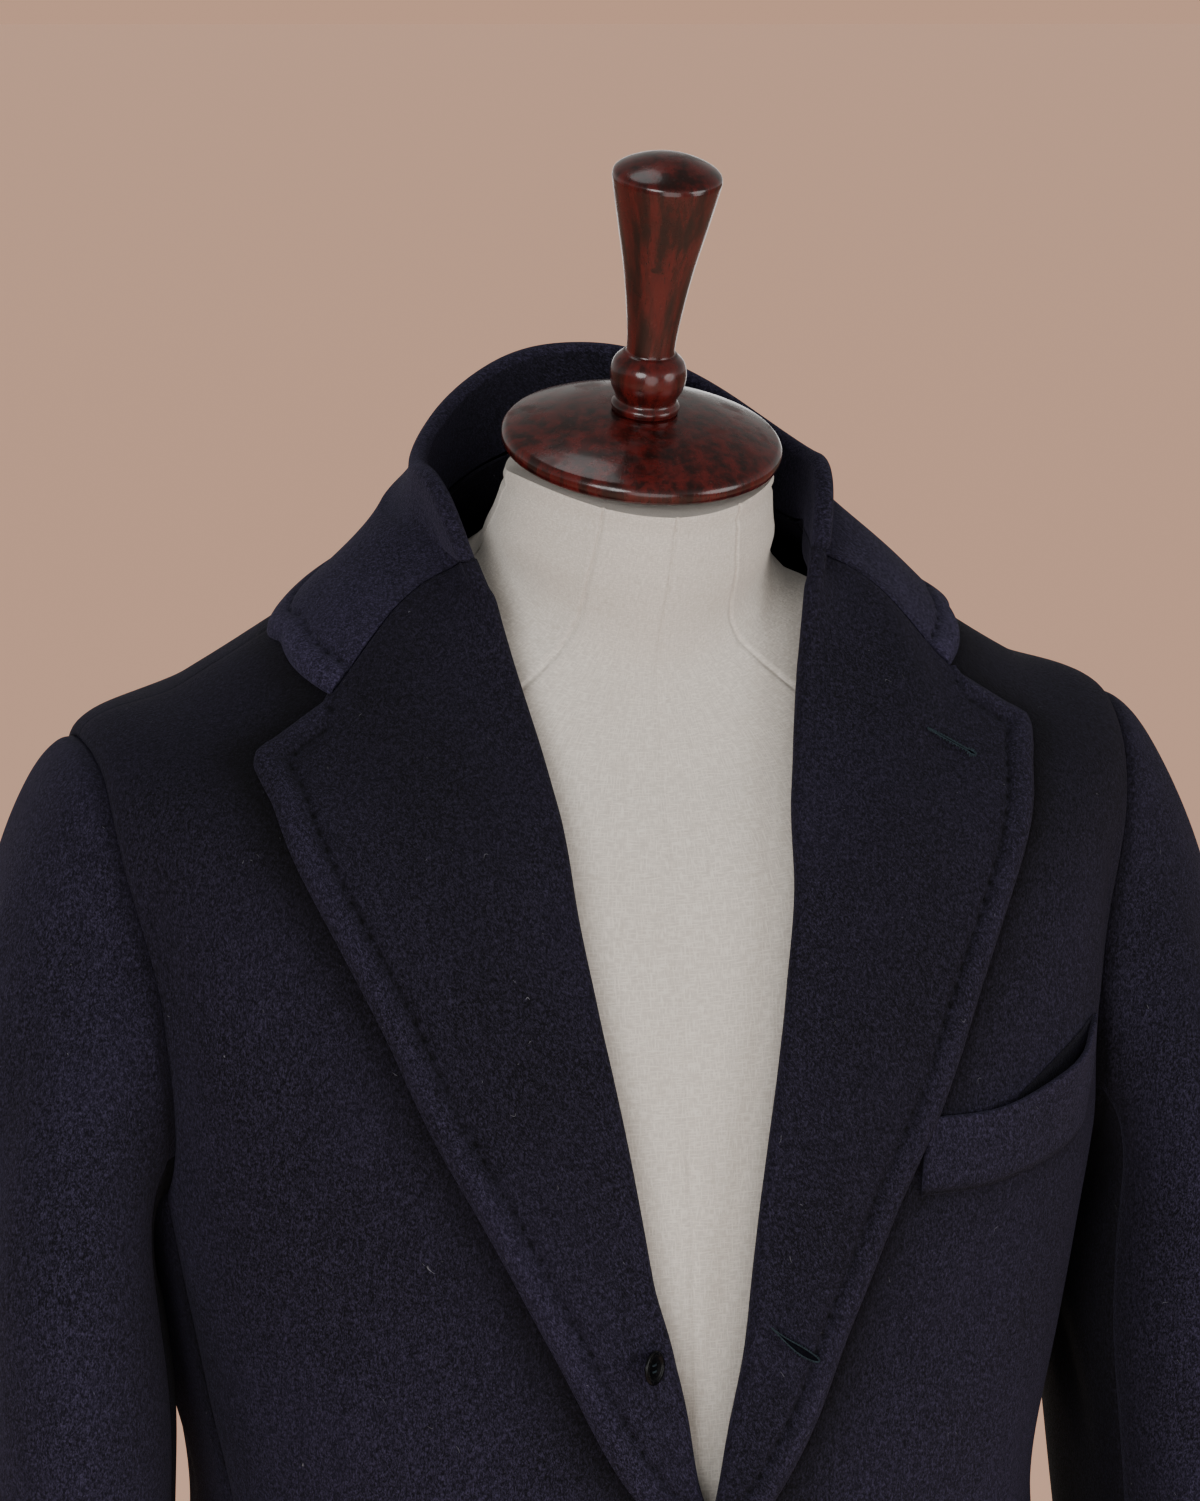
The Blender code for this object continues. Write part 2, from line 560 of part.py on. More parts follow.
def collar():
    half, columns = collar_half()
    loops = [mirrored(loop, 1.0) for loop in half] + [mirrored(loop, -1.0) for loop in half[-2::-1]]
    size = len(half[0])
    stand_start = columns + 4
    split = [(size - 1, size - 1)]
    split += [(k, size - 2 - k) for k in range(columns)]
    pinch = stand_start + 8
    split += [(columns, pinch), (columns + 1, pinch), (columns + 2, pinch), (columns + 3, pinch)]
    split += [(stand_start + k, pinch - 1 - k) for k in range(4)]
    return swept_strip("collar", loops, split, "coat_wool")


# ---- sleeves -----------------------------------------------------------------------------------
HEAD_ROWS, ARM_ROWS = 7, 6


def sleeve_grid():
    """Middle surface of a sleeve: rows from the armhole to the cuff, columns round the armhole."""
    theta, level = ARM_SAMPLES[:, 0], ARM_SAMPLES[:, 1]
    hole = on_body(theta, level)
    normal = body_normal(theta, level)
    tangent = unit(np.roll(hole, -1, axis=0) - np.roll(hole, 1, axis=0))
    away = unit(np.cross(tangent, normal))
    away *= np.sign(((hole.mean(axis=0) - hole) * away).sum(axis=-1))[:, None]
    crown = smoothstep(level, 6.25, 7.7)[:, None]
    start = hole + normal * (crown * WALL / 2 + (1 - crown) * 0.0046) + away * (0.0014 * crown - 0.0008 * (1 - crown))
    leave = unit(crown * (np.array([1.0, 0.0, -0.10]) + 0.25 * away)
                 + (1 - crown) * (normal * 0.8 + np.array([0.0, 0.0, -0.6])))
    start_pull = 0.90 - 0.42 * crown
    centre = hole.mean(axis=0)
    turn = np.arctan2(-(hole[:, 1] - centre[1]), hole[:, 2] - centre[2])
    first = SLEEVE[0]

    def ring_at(height_row):
        r = spline(np.array(SLEEVE, float), np.array([height_row]))[0]
        s, c = np.sin(turn), np.cos(turn)
        reach = (np.abs(s) ** SLEEVE_SQUARE + np.abs(c) ** SLEEVE_SQUARE) ** (-1 / SLEEVE_SQUARE)
        out = np.stack([r[0] + r[3] * c * reach, r[1] - r[4] * s * reach,
                        np.full(len(turn), r[2])], -1)
        return out

    end = ring_at(0.0)
    reach = np.linalg.norm(end - start, axis=1, keepdims=True)
    down = unit(ring_at(0.05) - end)
    rows = []
    for s in np.linspace(0, 1, HEAD_ROWS):
        h00, h10 = 2 * s**3 - 3 * s**2 + 1, s**3 - 2 * s**2 + s
        h01, h11 = -2 * s**3 + 3 * s**2, s**3 - s**2
        rows.append(h00 * start + h10 * leave * reach * start_pull
                    + h01 * end + h11 * down * reach * 0.85)
    for s in np.linspace(0, len(SLEEVE) - 1, ARM_ROWS)[1:]:
        rows.append(ring_at(s))
    return np.array(rows)


def grid_normals(grid):
    """Outward normals of a sleeve grid that is closed round its columns."""
    around = np.roll(grid, -1, axis=1) - np.roll(grid, 1, axis=1)
    along = np.gradient(grid, axis=0)
    normal = unit(np.cross(around, along))
    axis = grid.mean(axis=1, keepdims=True)
    if ((grid - axis) * normal).sum() < 0:
        normal = -normal
    return normal


def sleeve_pieces(side, name_side):
    grid = sleeve_grid()
    normal = grid_normals(grid)
    count = len(ARM_SAMPLES)
    front_seam, back_seam = FRONT_AT - 2, BACK_AT + 2
    over = np.arange(back_seam - count, front_seam + 1) % count
    under = np.arange(front_seam, back_seam + 1)
    for name, columns in ((f"sleeve_top_{name_side}", over), (f"sleeve_under_{name_side}", under)):
        middle = short_of_seams(grid[:, columns], first_row=False, last_row=False)
        out = normal[:, columns]
        slab(name, mirrored(middle + out * WALL / 2, side), mirrored(middle - out * WALL / 2, side),
             "coat_wool")


# ---- small pieces ------------------------------------------------------------------------------
def chest_welt():
    """The curved breast-pocket welt, a turned strip on the left front."""
    table = np.array(CHEST_WELT)
    fine = spline(table, np.linspace(0, len(table) - 1, 13))
    f = np.linspace(0, 1, 5)[:, None]
    theta = np.broadcast_to(fine[:, 0], (5, 13))
    level = fine[:, 1] * (1 - f) + fine[:, 2] * f
    lift = (overlap_lift(theta, level, 1) + WALL + CLEAR
            + 0.0022 * f ** 2 * np.sin(np.pi * np.linspace(0, 1, 13)) ** 2)
    lay_panel("chest_welt", np.stack([theta, level], -1), 1.0, lift=lift, wall=0.0028)


def button(name, theta, level, lift, radius, side, segments=32):
    """A turned button with a raised rim and four thread holes, its back on the cloth."""
    origin = mirrored(on_body(theta, level) + body_normal(theta, level) * lift, side)
    axis = mirrored(body_normal(theta, level), side)
    disc = lathe(name, BUTTON_PROFILE, origin, axis, "button_dark", segments, radius)
    flat = unit(np.cross(axis, (0.0, 0.0, 1.0)))
    upright = np.cross(axis, flat)
    for k in range(4):
        a = math.radians(45 + 90 * k)
        place = origin + (flat * math.cos(a) + upright * math.sin(a)) * radius * 0.27 - axis * 0.01
        drill = lathe(f"{name}_drill_{k}", [Turn(0.0, 0.0), Turn(0.0, 0.085 * radius),
                                            Turn(0.02, 0.085 * radius), Turn(0.02, 0.0)],
                      place, axis, "button_dark", 10)
        drill.hide_render = True
        drill.hide_set(True)
        cut = disc.modifiers.new(f"hole_{k}", "BOOLEAN")
        cut.operation, cut.solver, cut.object = "DIFFERENCE", "EXACT", drill


# ---- dress form and stand ----------------------------------------------------------------------
def form_torso():
    """The canvas body: the coat's surface drawn in, then the neck, closed at both ends."""
    segments = 36
    theta = np.linspace(-180, 180, segments, endpoint=False)
    low = np.interp(FORM_BOTTOM, TABLE[:, 4], np.arange(len(TABLE)))
    levels = np.concatenate([[low], np.arange(2.0, 9.6, 0.5)])
    rings = []
    for level in levels:
        base = on_body(theta, level)
        rings.append(base - body_normal(theta, level) * FORM_INSET)
    neck = [ring_point(np.array(ring, float)[None].repeat(segments, 0), np.radians(theta))
            for ring in FORM_NECK]
    control = np.array(rings + neck)
    places = np.concatenate([np.arange(len(rings)), len(rings) - 1 + np.arange(0.5, 3.1, 0.5)])
    body = spline(control, places)
    body[0][:, 2] = FORM_BOTTOM
    under = body[0] * np.array([0.93, 0.93, 1.0]) - np.array([0, 0, 0.006])
    swept("form_torso", np.concatenate([under[None], body]), "form_canvas")


def stand():
    axis = (0.0, -math.sin(NECK_TILT), math.cos(NECK_TILT))
    lathe("neck_cap", CAP_PROFILE, NECK_TOP, axis, "turned_wood", 48)
    lathe("finial", FINIAL_PROFILE, NECK_TOP, axis, "turned_wood", 32)
    lathe("stand_base", BASE_PROFILE, (0, 0, 0), (0, 0, 1), "stand_paint", 48)
    top = FORM_BOTTOM - 0.006
    pole = [Turn(0.0604, 0.0), Turn(0.0604, POLE_RADIUS), Turn(top - 0.012, POLE_RADIUS),
            Turn(top - 0.010, 0.045), Turn(top - 0.0015, 0.048), Turn(top - 0.0005, 0.046),
            Turn(top - 0.0005, 0.0)]
    lathe("stand_pole", pole, (0, 0, 0), (0, 0, 1), "stand_paint", 32)


# ---- build -------------------------------------------------------------------------------------
def main():
    for obj in list(bpy.data.objects):
        bpy.data.objects.remove(obj, do_unlink=True)
    fronts = front_panel()
    for side, name_side in ((1.0, "left"), (-1.0, "right")):
        lay_panel(f"front_{name_side}", fronts, side,
                  lift=overlap_lift(fronts[..., 0], fronts[..., 1], side))
        lay_panel(f"side_{name_side}", side_panel(), side)
        lay_panel(f"back_{name_side}", back_panel(), side)
        lapel(f"lapel_{name_side}", side)
        sleeve_pieces(side, name_side)
    collar()
    chest_welt()
    outside = OVERLAP_LIFT + WALL + CLEAR
    button("front_button_mid", 0.0, MID_BUTTON_LEVEL, outside, FRONT_BUTTON_RADIUS, 1.0)
    button("front_button_low", 0.0, LOW_BUTTON_LEVEL, outside, FRONT_BUTTON_RADIUS, 1.0)
    button("stay_button", 6.9, 5.28, WALL + LAPEL_CLEAR + LAPEL_WALL + 0.0006, STAY_BUTTON_RADIUS, -1.0)
    form_torso()
    stand()


main()
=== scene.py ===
"""Looks of a wool overcoat on its dress form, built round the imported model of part.py.

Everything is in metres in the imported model's frame: +Z up, the coat's front towards -Y and +X
the wearer's left. The coat's pieces are laid out on the same body surface as the solids, where
a place is (theta, level): theta is 0 at the centre front and 180 at the centre back, and level
runs from 0 at the hem to 12 at the collar's fold. Each cloth piece is a thin shell with its own
creases, turned edges and stitches.
"""

import logging
import math
from collections.abc import Callable, Sequence
from dataclasses import astuple, dataclass
from enum import Enum

import bpy
import numpy as np
from mathutils import Matrix, Vector

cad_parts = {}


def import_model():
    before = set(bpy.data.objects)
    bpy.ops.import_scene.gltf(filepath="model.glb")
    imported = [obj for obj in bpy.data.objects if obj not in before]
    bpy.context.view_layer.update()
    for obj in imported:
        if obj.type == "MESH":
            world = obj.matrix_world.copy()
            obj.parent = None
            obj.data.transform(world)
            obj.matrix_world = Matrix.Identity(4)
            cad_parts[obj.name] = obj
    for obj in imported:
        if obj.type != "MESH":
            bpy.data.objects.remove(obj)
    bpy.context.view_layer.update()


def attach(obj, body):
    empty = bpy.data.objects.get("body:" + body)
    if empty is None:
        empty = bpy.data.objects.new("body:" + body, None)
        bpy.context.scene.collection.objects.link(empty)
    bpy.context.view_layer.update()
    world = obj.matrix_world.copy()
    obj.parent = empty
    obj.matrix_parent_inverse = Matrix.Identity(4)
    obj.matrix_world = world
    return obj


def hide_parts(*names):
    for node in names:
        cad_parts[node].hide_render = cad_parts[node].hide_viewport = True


LOG = logging.getLogger("overcoat")
Array = np.ndarray
Faces = list[tuple[int, ...]]
Places = Sequence[tuple[float, float]]
EdgeCurve = Callable[[Array], Array]

# Sizes that the solids have too, in metres, and the tilt of the neck.
WALL = 0.0024
LAPEL_WALL = 0.0042
COLLAR_WALL = 0.0042
STAND_WALL = 0.0030
LAPEL_CLEAR = 0.0012
SEAM_GAP = 0.0002
PIECE_GAP = 0.0004
OVERLAP_LIFT = 0.0036
CROSSING_LIFT = 0.0040
FRONT_EDGE = 0.028
FORM_INSET = 0.0090
NECK_TILT = math.radians(18.0)

# Shares of a cloth's thickness by which its edge stands out, and by which its corners are filled.
RIM_BULGE = 0.32
RIM_SHOULDER = 0.22
# Angles in degrees over which an edge stays crisp.
TURNED_SHARP = 38.0
CLOTH_SHARP = 60.0
ROLLED_SHARP = 70.0
THREAD_SHARP = 80.0
# Share of half the thickness by which a lapel's or a collar's edge stands out.
LOOP_RIM = 0.62
# Points round a roll or a fold.
ROLL_POINTS = 13

# Painted shade on the cloth's wrong side, which lies in shade.
WRONG_SIDE_PAINTED_SHADE = -0.7

# Needlework.
SWELL_WIDTH = 0.0132
STITCH_PITCH = 0.0078
STITCHED_BAND = 0.021
BAND_SWELL = 0.0012
EDGE_ROUND = 0.0048
EDGE_DROP = 0.0020


class Side(Enum):
    """The wearer's side, with the sign of X that it lies on."""

    LEFT = 1
    RIGHT = -1

    @property
    def word(self) -> str:
        """The side's name as node names have it."""
        return self.name.lower()


class Slot(Enum):
    """Names of material slots."""

    WOOL = "coat_wool"
    BUTTON = "button_dark"
    CANVAS = "form_canvas"
    WOOD = "turned_wood"
    PAINT = "stand_paint"


# ---------------------------------------------------------------------------------------------
# Numbers and curves
# ---------------------------------------------------------------------------------------------
def hermite(f: Array, start: Array, leave: Array, end: Array, arrive: Array) -> Array:
    """A cubic from start to end, with the slopes that it leaves and arrives with."""
    return ((2 * f**3 - 3 * f**2 + 1) * start + (f**3 - 2 * f**2 + f) * leave
            + (-2 * f**3 + 3 * f**2) * end + (f**3 - f**2) * arrive)


def spline(values: Array, at: Array) -> Array:
    """Catmull-Rom through rows of values.

    Args:
        values: the rows to pass through.
        at: places to evaluate, counted in rows.

    Returns:
        One row of values for each place.
    """
    values, at = np.asarray(values, float), np.asarray(at, float)
    last = len(values) - 1
    i = np.clip(np.floor(at).astype(int), 0, last - 1)
    f = (at - i).reshape(at.shape + (1,) * (values.ndim - 1))
    p1, p2 = values[i], values[i + 1]
    has_before = (i > 0).reshape(f.shape)
    has_after = (i + 2 <= last).reshape(f.shape)
    p0 = np.where(has_before, values[np.maximum(i - 1, 0)], 2 * p1 - p2)
    p3 = np.where(has_after, values[np.minimum(i + 2, last)], 2 * p2 - p1)
    return hermite(f, p1, (p2 - p0) / 2, p2, (p3 - p1) / 2)


def unit(vectors: Array) -> Array:
    """The vectors scaled to length 1."""
    return vectors / np.maximum(np.linalg.norm(vectors, axis=-1, keepdims=True), 1e-12)


def smoothstep(x: Array, low: float, high: float) -> Array:
    """0 at low, 1 at high and smooth between them."""
    f = np.clip((np.asarray(x, float) - low) / (high - low), 0, 1)
    return f * f * (3 - 2 * f)


def bell(x: Array, width: float) -> Array:
    """A soft bump of height 1 at 0 that has died away by twice its width."""
    return np.exp(-(np.asarray(x, float) / width) ** 2)


def lengths_along(points: Array) -> Array:
    """Distance from the first point along a line of points, for each point."""
    step = np.linalg.norm(np.diff(points, axis=0), axis=-1)
    return np.concatenate([np.zeros_like(step[:1]), np.cumsum(step, axis=0)])


def interpolated(at: Array, run: Array, table: Array) -> Array:
    """Rows of a table at places on its run, each column by itself."""
    return np.stack([np.interp(at, run, table[:, k]) for k in range(table.shape[1])], -1)


def mirrored(points: Array, side: Side) -> Array:
    """Points of the wearer's left half, put on the given side."""
    return np.asarray(points) * np.array([float(side.value), 1.0, 1.0])


# ---------------------------------------------------------------------------------------------
# The body surface and the creases on it
# ---------------------------------------------------------------------------------------------
@dataclass(frozen=True)
class BodyLevel:
    """Sizes of one ring of the body surface."""

    half_width: float
    side_y: float
    front_y: float
    back_y: float
    side_z: float
    front_z: float
    back_z: float
    square: float


@dataclass(frozen=True)
class Crease:
    """A soft ridge, or a trough where height is below 0, along a bowed line.

    Start and end are places on the surface that it belongs to, and the other sizes are metres.
    """

    start: tuple[float, float]
    end: tuple[float, float]
    height: float
    width: float
    bow: float = 0.0


def crease_height(u: Array, v: Array, creases: Sequence[Crease], per_u: float,
                  per_v: float) -> Array:
    """Height of a set of creases over places of a surface.

    Args:
        u: first coordinate of the places.
        v: second coordinate of the places.
        creases: the ridges and troughs.
        per_u: metres for one unit of u.
        per_v: metres for one unit of v.

    Returns:
        The height above the smooth surface at each place, in metres.
    """
    x, y = np.asarray(u) * per_u, np.asarray(v) * per_v
    total = np.zeros(np.broadcast(x, y).shape)
    for crease in creases:
        ax, ay = crease.start[0] * per_u, crease.start[1] * per_v
        bx, by = crease.end[0] * per_u - ax, crease.end[1] * per_v - ay
        length = math.hypot(bx, by)
        along = ((x - ax) * bx + (y - ay) * by) / length**2
        across = ((x - ax) * -by + (y - ay) * bx) / length
        across = across - crease.bow * np.sin(np.pi * np.clip(along, 0, 1))
        fade = smoothstep(along, -0.12, 0.30) * (1 - smoothstep(along, 0.62, 1.12))
        total = total + crease.height * bell(across, crease.width) * fade
    return total


def slow_waves(points: Array, seed: int, reach: float) -> Array:
    """Gentle unevenness of hand-pressed cloth.

    Args:
        points: places in space, in metres.
        seed: which waves to draw.
        reach: height of the waves in metres.

    Returns:
        A height for each point.
    """
    rng = np.random.default_rng(seed)
    total = np.zeros(points.shape[:-1])
    for length in (0.150, 0.110, 0.083, 0.061, 0.047):
        direction = unit(rng.normal(size=3) * np.array([1.0, 1.0, 0.55]))
        phase = rng.uniform(0, 2 * np.pi)
        total = total + np.sin(points @ direction * (2 * np.pi / length) + phase) * length
    return total / 0.45 * reach


class BodySurface:
    """The coat's outline in space, as rings between hem and collar fold."""

    METRES_PER_DEGREE = 0.0034
    METRES_PER_LEVEL = 0.085
    LEVELS = (
        BodyLevel(0.2520, 0.004, -0.1600, 0.152, 0.500, 0.500, 0.500, 2.2),   # hem
        BodyLevel(0.2380, 0.004, -0.1550, 0.148, 0.680, 0.680, 0.680, 2.2),   # thigh
        BodyLevel(0.2220, 0.003, -0.1490, 0.143, 0.860, 0.860, 0.860, 2.2),   # seat
        BodyLevel(0.2030, 0.002, -0.1430, 0.132, 0.980, 0.980, 0.980, 2.2),   # hip
        BodyLevel(0.1880, 0.002, -0.1390, 0.122, 1.085, 1.085, 1.085, 2.2),   # waist
        BodyLevel(0.1990, 0.003, -0.1310, 0.126, 1.165, 1.165, 1.165, 2.4),   # ribs
        BodyLevel(0.2120, 0.006, -0.1250, 0.136, 1.245, 1.240, 1.245, 2.6),   # underarm
        BodyLevel(0.2260, 0.011, -0.1170, 0.142, 1.335, 1.305, 1.325, 2.6),   # chest
        BodyLevel(0.2335, 0.018, -0.1030, 0.131, 1.427, 1.368, 1.408, 2.5),   # shoulder point
        BodyLevel(0.1860, 0.016, -0.0880, 0.108, 1.453, 1.412, 1.460, 2.3),   # outer shoulder
        BodyLevel(0.1350, 0.010, -0.0750, 0.086, 1.484, 1.448, 1.505, 2.1),   # inner shoulder
        BodyLevel(0.0860, 0.002, -0.0680, 0.066, 1.514, 1.478, 1.543, 2.0),   # neck seam
        BodyLevel(0.0830, -0.010, -0.0870, 0.062, 1.550, 1.376, 1.588, 2.0),  # collar fold
    )

    ROLL = (
        (-1.0, 4.27), (1.4, 4.52), (3.6, 4.90), (5.7, 5.30), (7.1, 5.80), (8.3, 6.30), (9.5, 6.80),
        (10.4, 7.20), (11.4, 7.65), (13.8, 8.45), (17.2, 9.05), (22.0, 9.60), (28.7, 10.10),
        (37.0, 10.50), (50.0, 11.20), (62.0, 11.90),
    )
    BRIDGE_START, BRIDGE_END = 0.853, (0.0039, 0.0074, 0.0144)
    BRIDGE_LEAD, BRIDGE_LEAD_ROWS, BRIDGE_ROWS = 0.03, 10, 60
    BRIDGE_FADE = 16.0
    THROAT_LOW, THROAT_HIGH = (0.40, -0.75, 0.52), (0.88, -0.40, -0.05)

    def __init__(self) -> None:
        """Keeps the rings as one table."""
        self.table = np.array([astuple(level) for level in self.LEVELS])
        self._throat: tuple[Array, Array, Array] | None = None
        self._throat = self._bridge()

    def _bridge(self) -> tuple[Array, Array, Array]:
        """Levels and thetas up the roll's top, and how far it stands off to run straight there."""
        first = self.BRIDGE_LEAD_ROWS
        start = self.BRIDGE_START - self.BRIDGE_LEAD
        places = self.at_fraction(self.ROLL, np.linspace(start, 1, self.BRIDGE_ROWS))
        raw = self.at(places)
        s = np.linspace(0, 1, len(raw) - first)[:, None]
        reach = np.linalg.norm(raw[-1] - raw[first])
        leave, arrive = unit(raw[first] - raw[0]) * reach, unit(np.array(self.BRIDGE_END)) * reach
        smooth = hermite(s, raw[first], leave, raw[-1], arrive)
        return places[first:, 1], places[first:, 0], smooth - raw[first:]

    @staticmethod
    def ring(rows: Array, theta: Array) -> Array:
        """Points on rings.

        Args:
            rows: ring sizes in the last axis.
            theta: angles round the rings, in radians.

        Returns:
            One point for each angle.
        """
        half_width, side_y, front_y, back_y, side_z, front_z, back_z, square = np.moveaxis(rows, -1, 0)
        s, c = np.sin(theta), np.cos(theta)
        reach = (np.abs(s) ** square + np.abs(c) ** square) ** (-1 / square)
        end_y = np.where(c >= 0, front_y, back_y)
        end_z = np.where(c >= 0, front_z, back_z)
        return np.stack([half_width * s * reach, side_y + (end_y - side_y) * np.abs(c) * reach,
                         side_z + (end_z - side_z) * c * c], -1)

    def point(self, theta: Array, level: Array) -> Array:
        """Points at places, with theta in degrees."""
        theta, level = np.broadcast_arrays(np.asarray(theta, float), np.asarray(level, float))
        return self.ring(spline(self.table, level), np.radians(theta)) + self._bridged(theta, level)

    def _bridged(self, theta: Array, level: Array) -> Array:
        """How far the cloth stands off the hollow of the throat, beside the top of the roll.

        Args:
            theta: angles of the places, in degrees.
            level: levels of the places.

        Returns:
            An offset for each place, in metres.
        """
        if self._throat is None:
            return np.zeros((*theta.shape, 3))
        levels, thetas, offsets = self._throat
        off = interpolated(level, levels, offsets)
        past = theta - np.interp(level, levels, thetas)
        return off * (1 - smoothstep(past, 0.0, self.BRIDGE_FADE))[..., None]

    def at(self, places: Array) -> Array:
        """Points at (theta, level) pairs."""
        return self.point(places[..., 0], places[..., 1])

    def normal_at(self, places: Array) -> Array:
        """Outward unit normals at (theta, level) pairs."""
        return self.normal(places[..., 0], places[..., 1])

    def normal(self, theta: Array, level: Array) -> Array:
        """Outward unit normals at places.

        Args:
            theta: angles of the places, in degrees.
            level: levels of the places.

        Returns:
            One unit vector for each place.
        """
        theta, level = np.asarray(theta, float), np.asarray(level, float)
        round_it = self.point(theta + 0.1, level) - self.point(theta - 0.1, level)
        upwards = self.point(theta, level + 2e-3) - self.point(theta, level - 2e-3)
        plain = unit(np.cross(round_it, upwards))
        share = np.clip((level - 10.7) / 1.2, 0, 1)[..., None]
        throat = unit(np.array(self.THROAT_LOW) * (1 - share) + np.array(self.THROAT_HIGH) * share)
        weight = (smoothstep(level, 10.55, 11.0) * (1 - smoothstep(theta, 60.0, 72.0)))[..., None]
        return unit(plain * (1 - weight) + throat * weight)

    def even(self, places: Places, count: int) -> Array:
        """Places along a smooth curve through some places, evenly spaced on the body.

        Args:
            places: (theta, level) pairs that the curve passes through.
            count: how many places to return.

        Returns:
            An array of count (theta, level) pairs.
        """
        table = np.array(places, float)
        fine = spline(table, np.linspace(0, len(table) - 1, 40 * len(table)))
        run = lengths_along(self.at(fine))
        return interpolated(np.linspace(0, run[-1], count), run, fine)

    def at_fraction(self, places: Places, fraction: Array) -> Array:
        """Places at fractions of a smooth curve's length, or at its ends for those past them.

        Args:
            places: (theta, level) pairs that the curve passes through.
            fraction: fractions of its length.

        Returns:
            One (theta, level) pair for each fraction.
        """
        fine = self.even(places, 400)
        want = np.clip(fraction, 0, 1) * (len(fine) - 1)
        return interpolated(want, np.arange(len(fine)), fine)


# ---------------------------------------------------------------------------------------------
# The pattern: seams and edges on the body surface, on the wearer's left half
# ---------------------------------------------------------------------------------------------
class Pattern:
    """Where the coat's seams and edges run, and how the panels' rows match across them."""

    ARMHOLE = (
        (90, 8.13), (79, 8.12), (71, 8.03), (66.5, 7.85), (63.8, 7.60), (62.3, 7.32), (61.5, 7.00),
        (62.0, 6.60), (64.2, 6.28), (69.0, 6.06), (77.0, 5.95), (88.0, 5.90), (100.0, 5.97),
        (109.0, 6.15), (114.0, 6.50), (116.0, 7.00), (115.0, 7.45), (111.0, 7.80), (104.0, 8.02),
        (97.0, 8.11),
    )
    FRONT_KNOT, BACK_KNOT = 9, 13
    SIDE_FRONT_SEAM = ((72, 0), (71, 2), (70, 4), (69.4, 5.3), (69, 6.06))
    SIDE_BACK_SEAM = ((113, 0), (111.5, 2), (110, 4), (109.4, 5.3), (109, 6.15))
    ROW_LEVELS = (0, 0.7, 1.4, 2.1, 2.8, 3.4, 3.75, 4.02, 4.27, 4.65, 5.1, 5.6)
    SKIRT_ROWS = 8
    NECK_ROWS = 4
    BACK_NECK_ROWS = 5
    ROLL = BodySurface.ROLL
    LAPEL_EDGE = (
        (-1.0, 4.27), (4.0, 4.33), (8.0, 4.48), (12.2, 4.78), (17.5, 5.35), (21.0, 5.75), (24.7, 6.20),
        (27.3, 6.52), (29.3, 6.83), (32.6, 7.35), (37.2, 7.85), (43.8, 8.33), (49.0, 8.56),
        (54.7, 8.75),
    )
    GORGE = (
        (62.0, 11.90), (61.2, 11.25), (60.3, 10.75), (59.2, 10.38), (57.3, 10.08), (55.3, 9.78),
        (53.5, 9.49),
    )
    LAPEL_TOP = ((53.5, 9.49), (54.0, 9.24), (54.4, 9.00), (54.7, 8.75))
    FOLD = ((62, 11.9), (72, 11.94), (90, 11.86), (120, 11.92), (150, 12), (180, 12))
    COLLAR_FRONT = ((53.5, 9.49), (65.0, 9.57), (76.0, 9.70))
    COLLAR_EDGE = (
        (76.0, 9.70), (83.0, 9.69), (92.0, 9.80), (108.0, 10.02), (132.0, 10.24), (156.0, 10.35),
        (180.0, 10.39),
    )
    NECK_SEAM = ((62, 11.6), (75, 11.25), (93, 11.08), (125, 11.1), (180, 11.15))
    FRONT_FOOT = ((-7.2, 3.80), (-4.5, 4.06))
    DART = ((40.5, 5.65), (43.0, 5.10), (46.5, 4.60), (49.5, 4.05), (50.5, 3.30), (50.0, 2.75))

    def __init__(self, body: BodySurface) -> None:
        """Places the curves that the panels share.

        Args:
            body: the surface that the pattern lies on.
        """
        self.body = body
        closed = self.ARMHOLE[-2:] + self.ARMHOLE + self.ARMHOLE[:2]
        self._armhole = np.array(closed, float)
        self.front_at, self.back_at = 2 * self.FRONT_KNOT, 2 * self.BACK_KNOT
        self.half_knots = 2 * len(self.ARMHOLE)
        self.side_rows = len(self.ROW_LEVELS)
        self.front_rows = self.side_rows + self.front_at
        self.back_rows = self.side_rows + self.half_knots - self.back_at
        self.roll_rows = self.front_rows - self.NECK_ROWS - self.SKIRT_ROWS

    def tucked(self, places: Array, side: Side) -> Array:
        """Places with the foot of the right roll drawn across under the left front.

        Args:
            places: (theta, level) pairs.
            side: the wearer's side.

        Returns:
            The places, moved on the right side only.
        """
        if side is Side.LEFT:
            return places
        roll = np.array(self.ROLL)
        theta, level = places[..., 0], places[..., 1]
        past = theta - np.interp(level, roll[:, 1], roll[:, 0])
        shift = 0.9 * smoothstep(level, 4.5, 5.2) * (1 - smoothstep(level, 5.3, 5.75))
        return np.stack([theta - shift * (1 - smoothstep(past, 0, 14)), level], -1)

    def armhole(self, half_knot: Array) -> Array:
        """Places on the armhole, counted in half knots from the shoulder seam, forwards."""
        return spline(self._armhole, 2 + np.mod(np.asarray(half_knot, float), self.half_knots) / 2)

    def _seam(self, seam: Places, row: Array, top: Array) -> Array:
        """Places on a side seam at rows, ending at the armhole.

        Args:
            seam: the seam's (theta, level) pairs, from the hem up.
            row: row numbers, which need not be whole.
            top: the place that it ends at.

        Returns:
            One (theta, level) pair for each row.
        """
        table = np.array(seam, float)
        thetas = np.interp(self.ROW_LEVELS, table[:, 1], table[:, 0])
        line = np.concatenate([np.stack([thetas, self.ROW_LEVELS], -1), [top]])
        return interpolated(row, np.arange(len(line)), line)

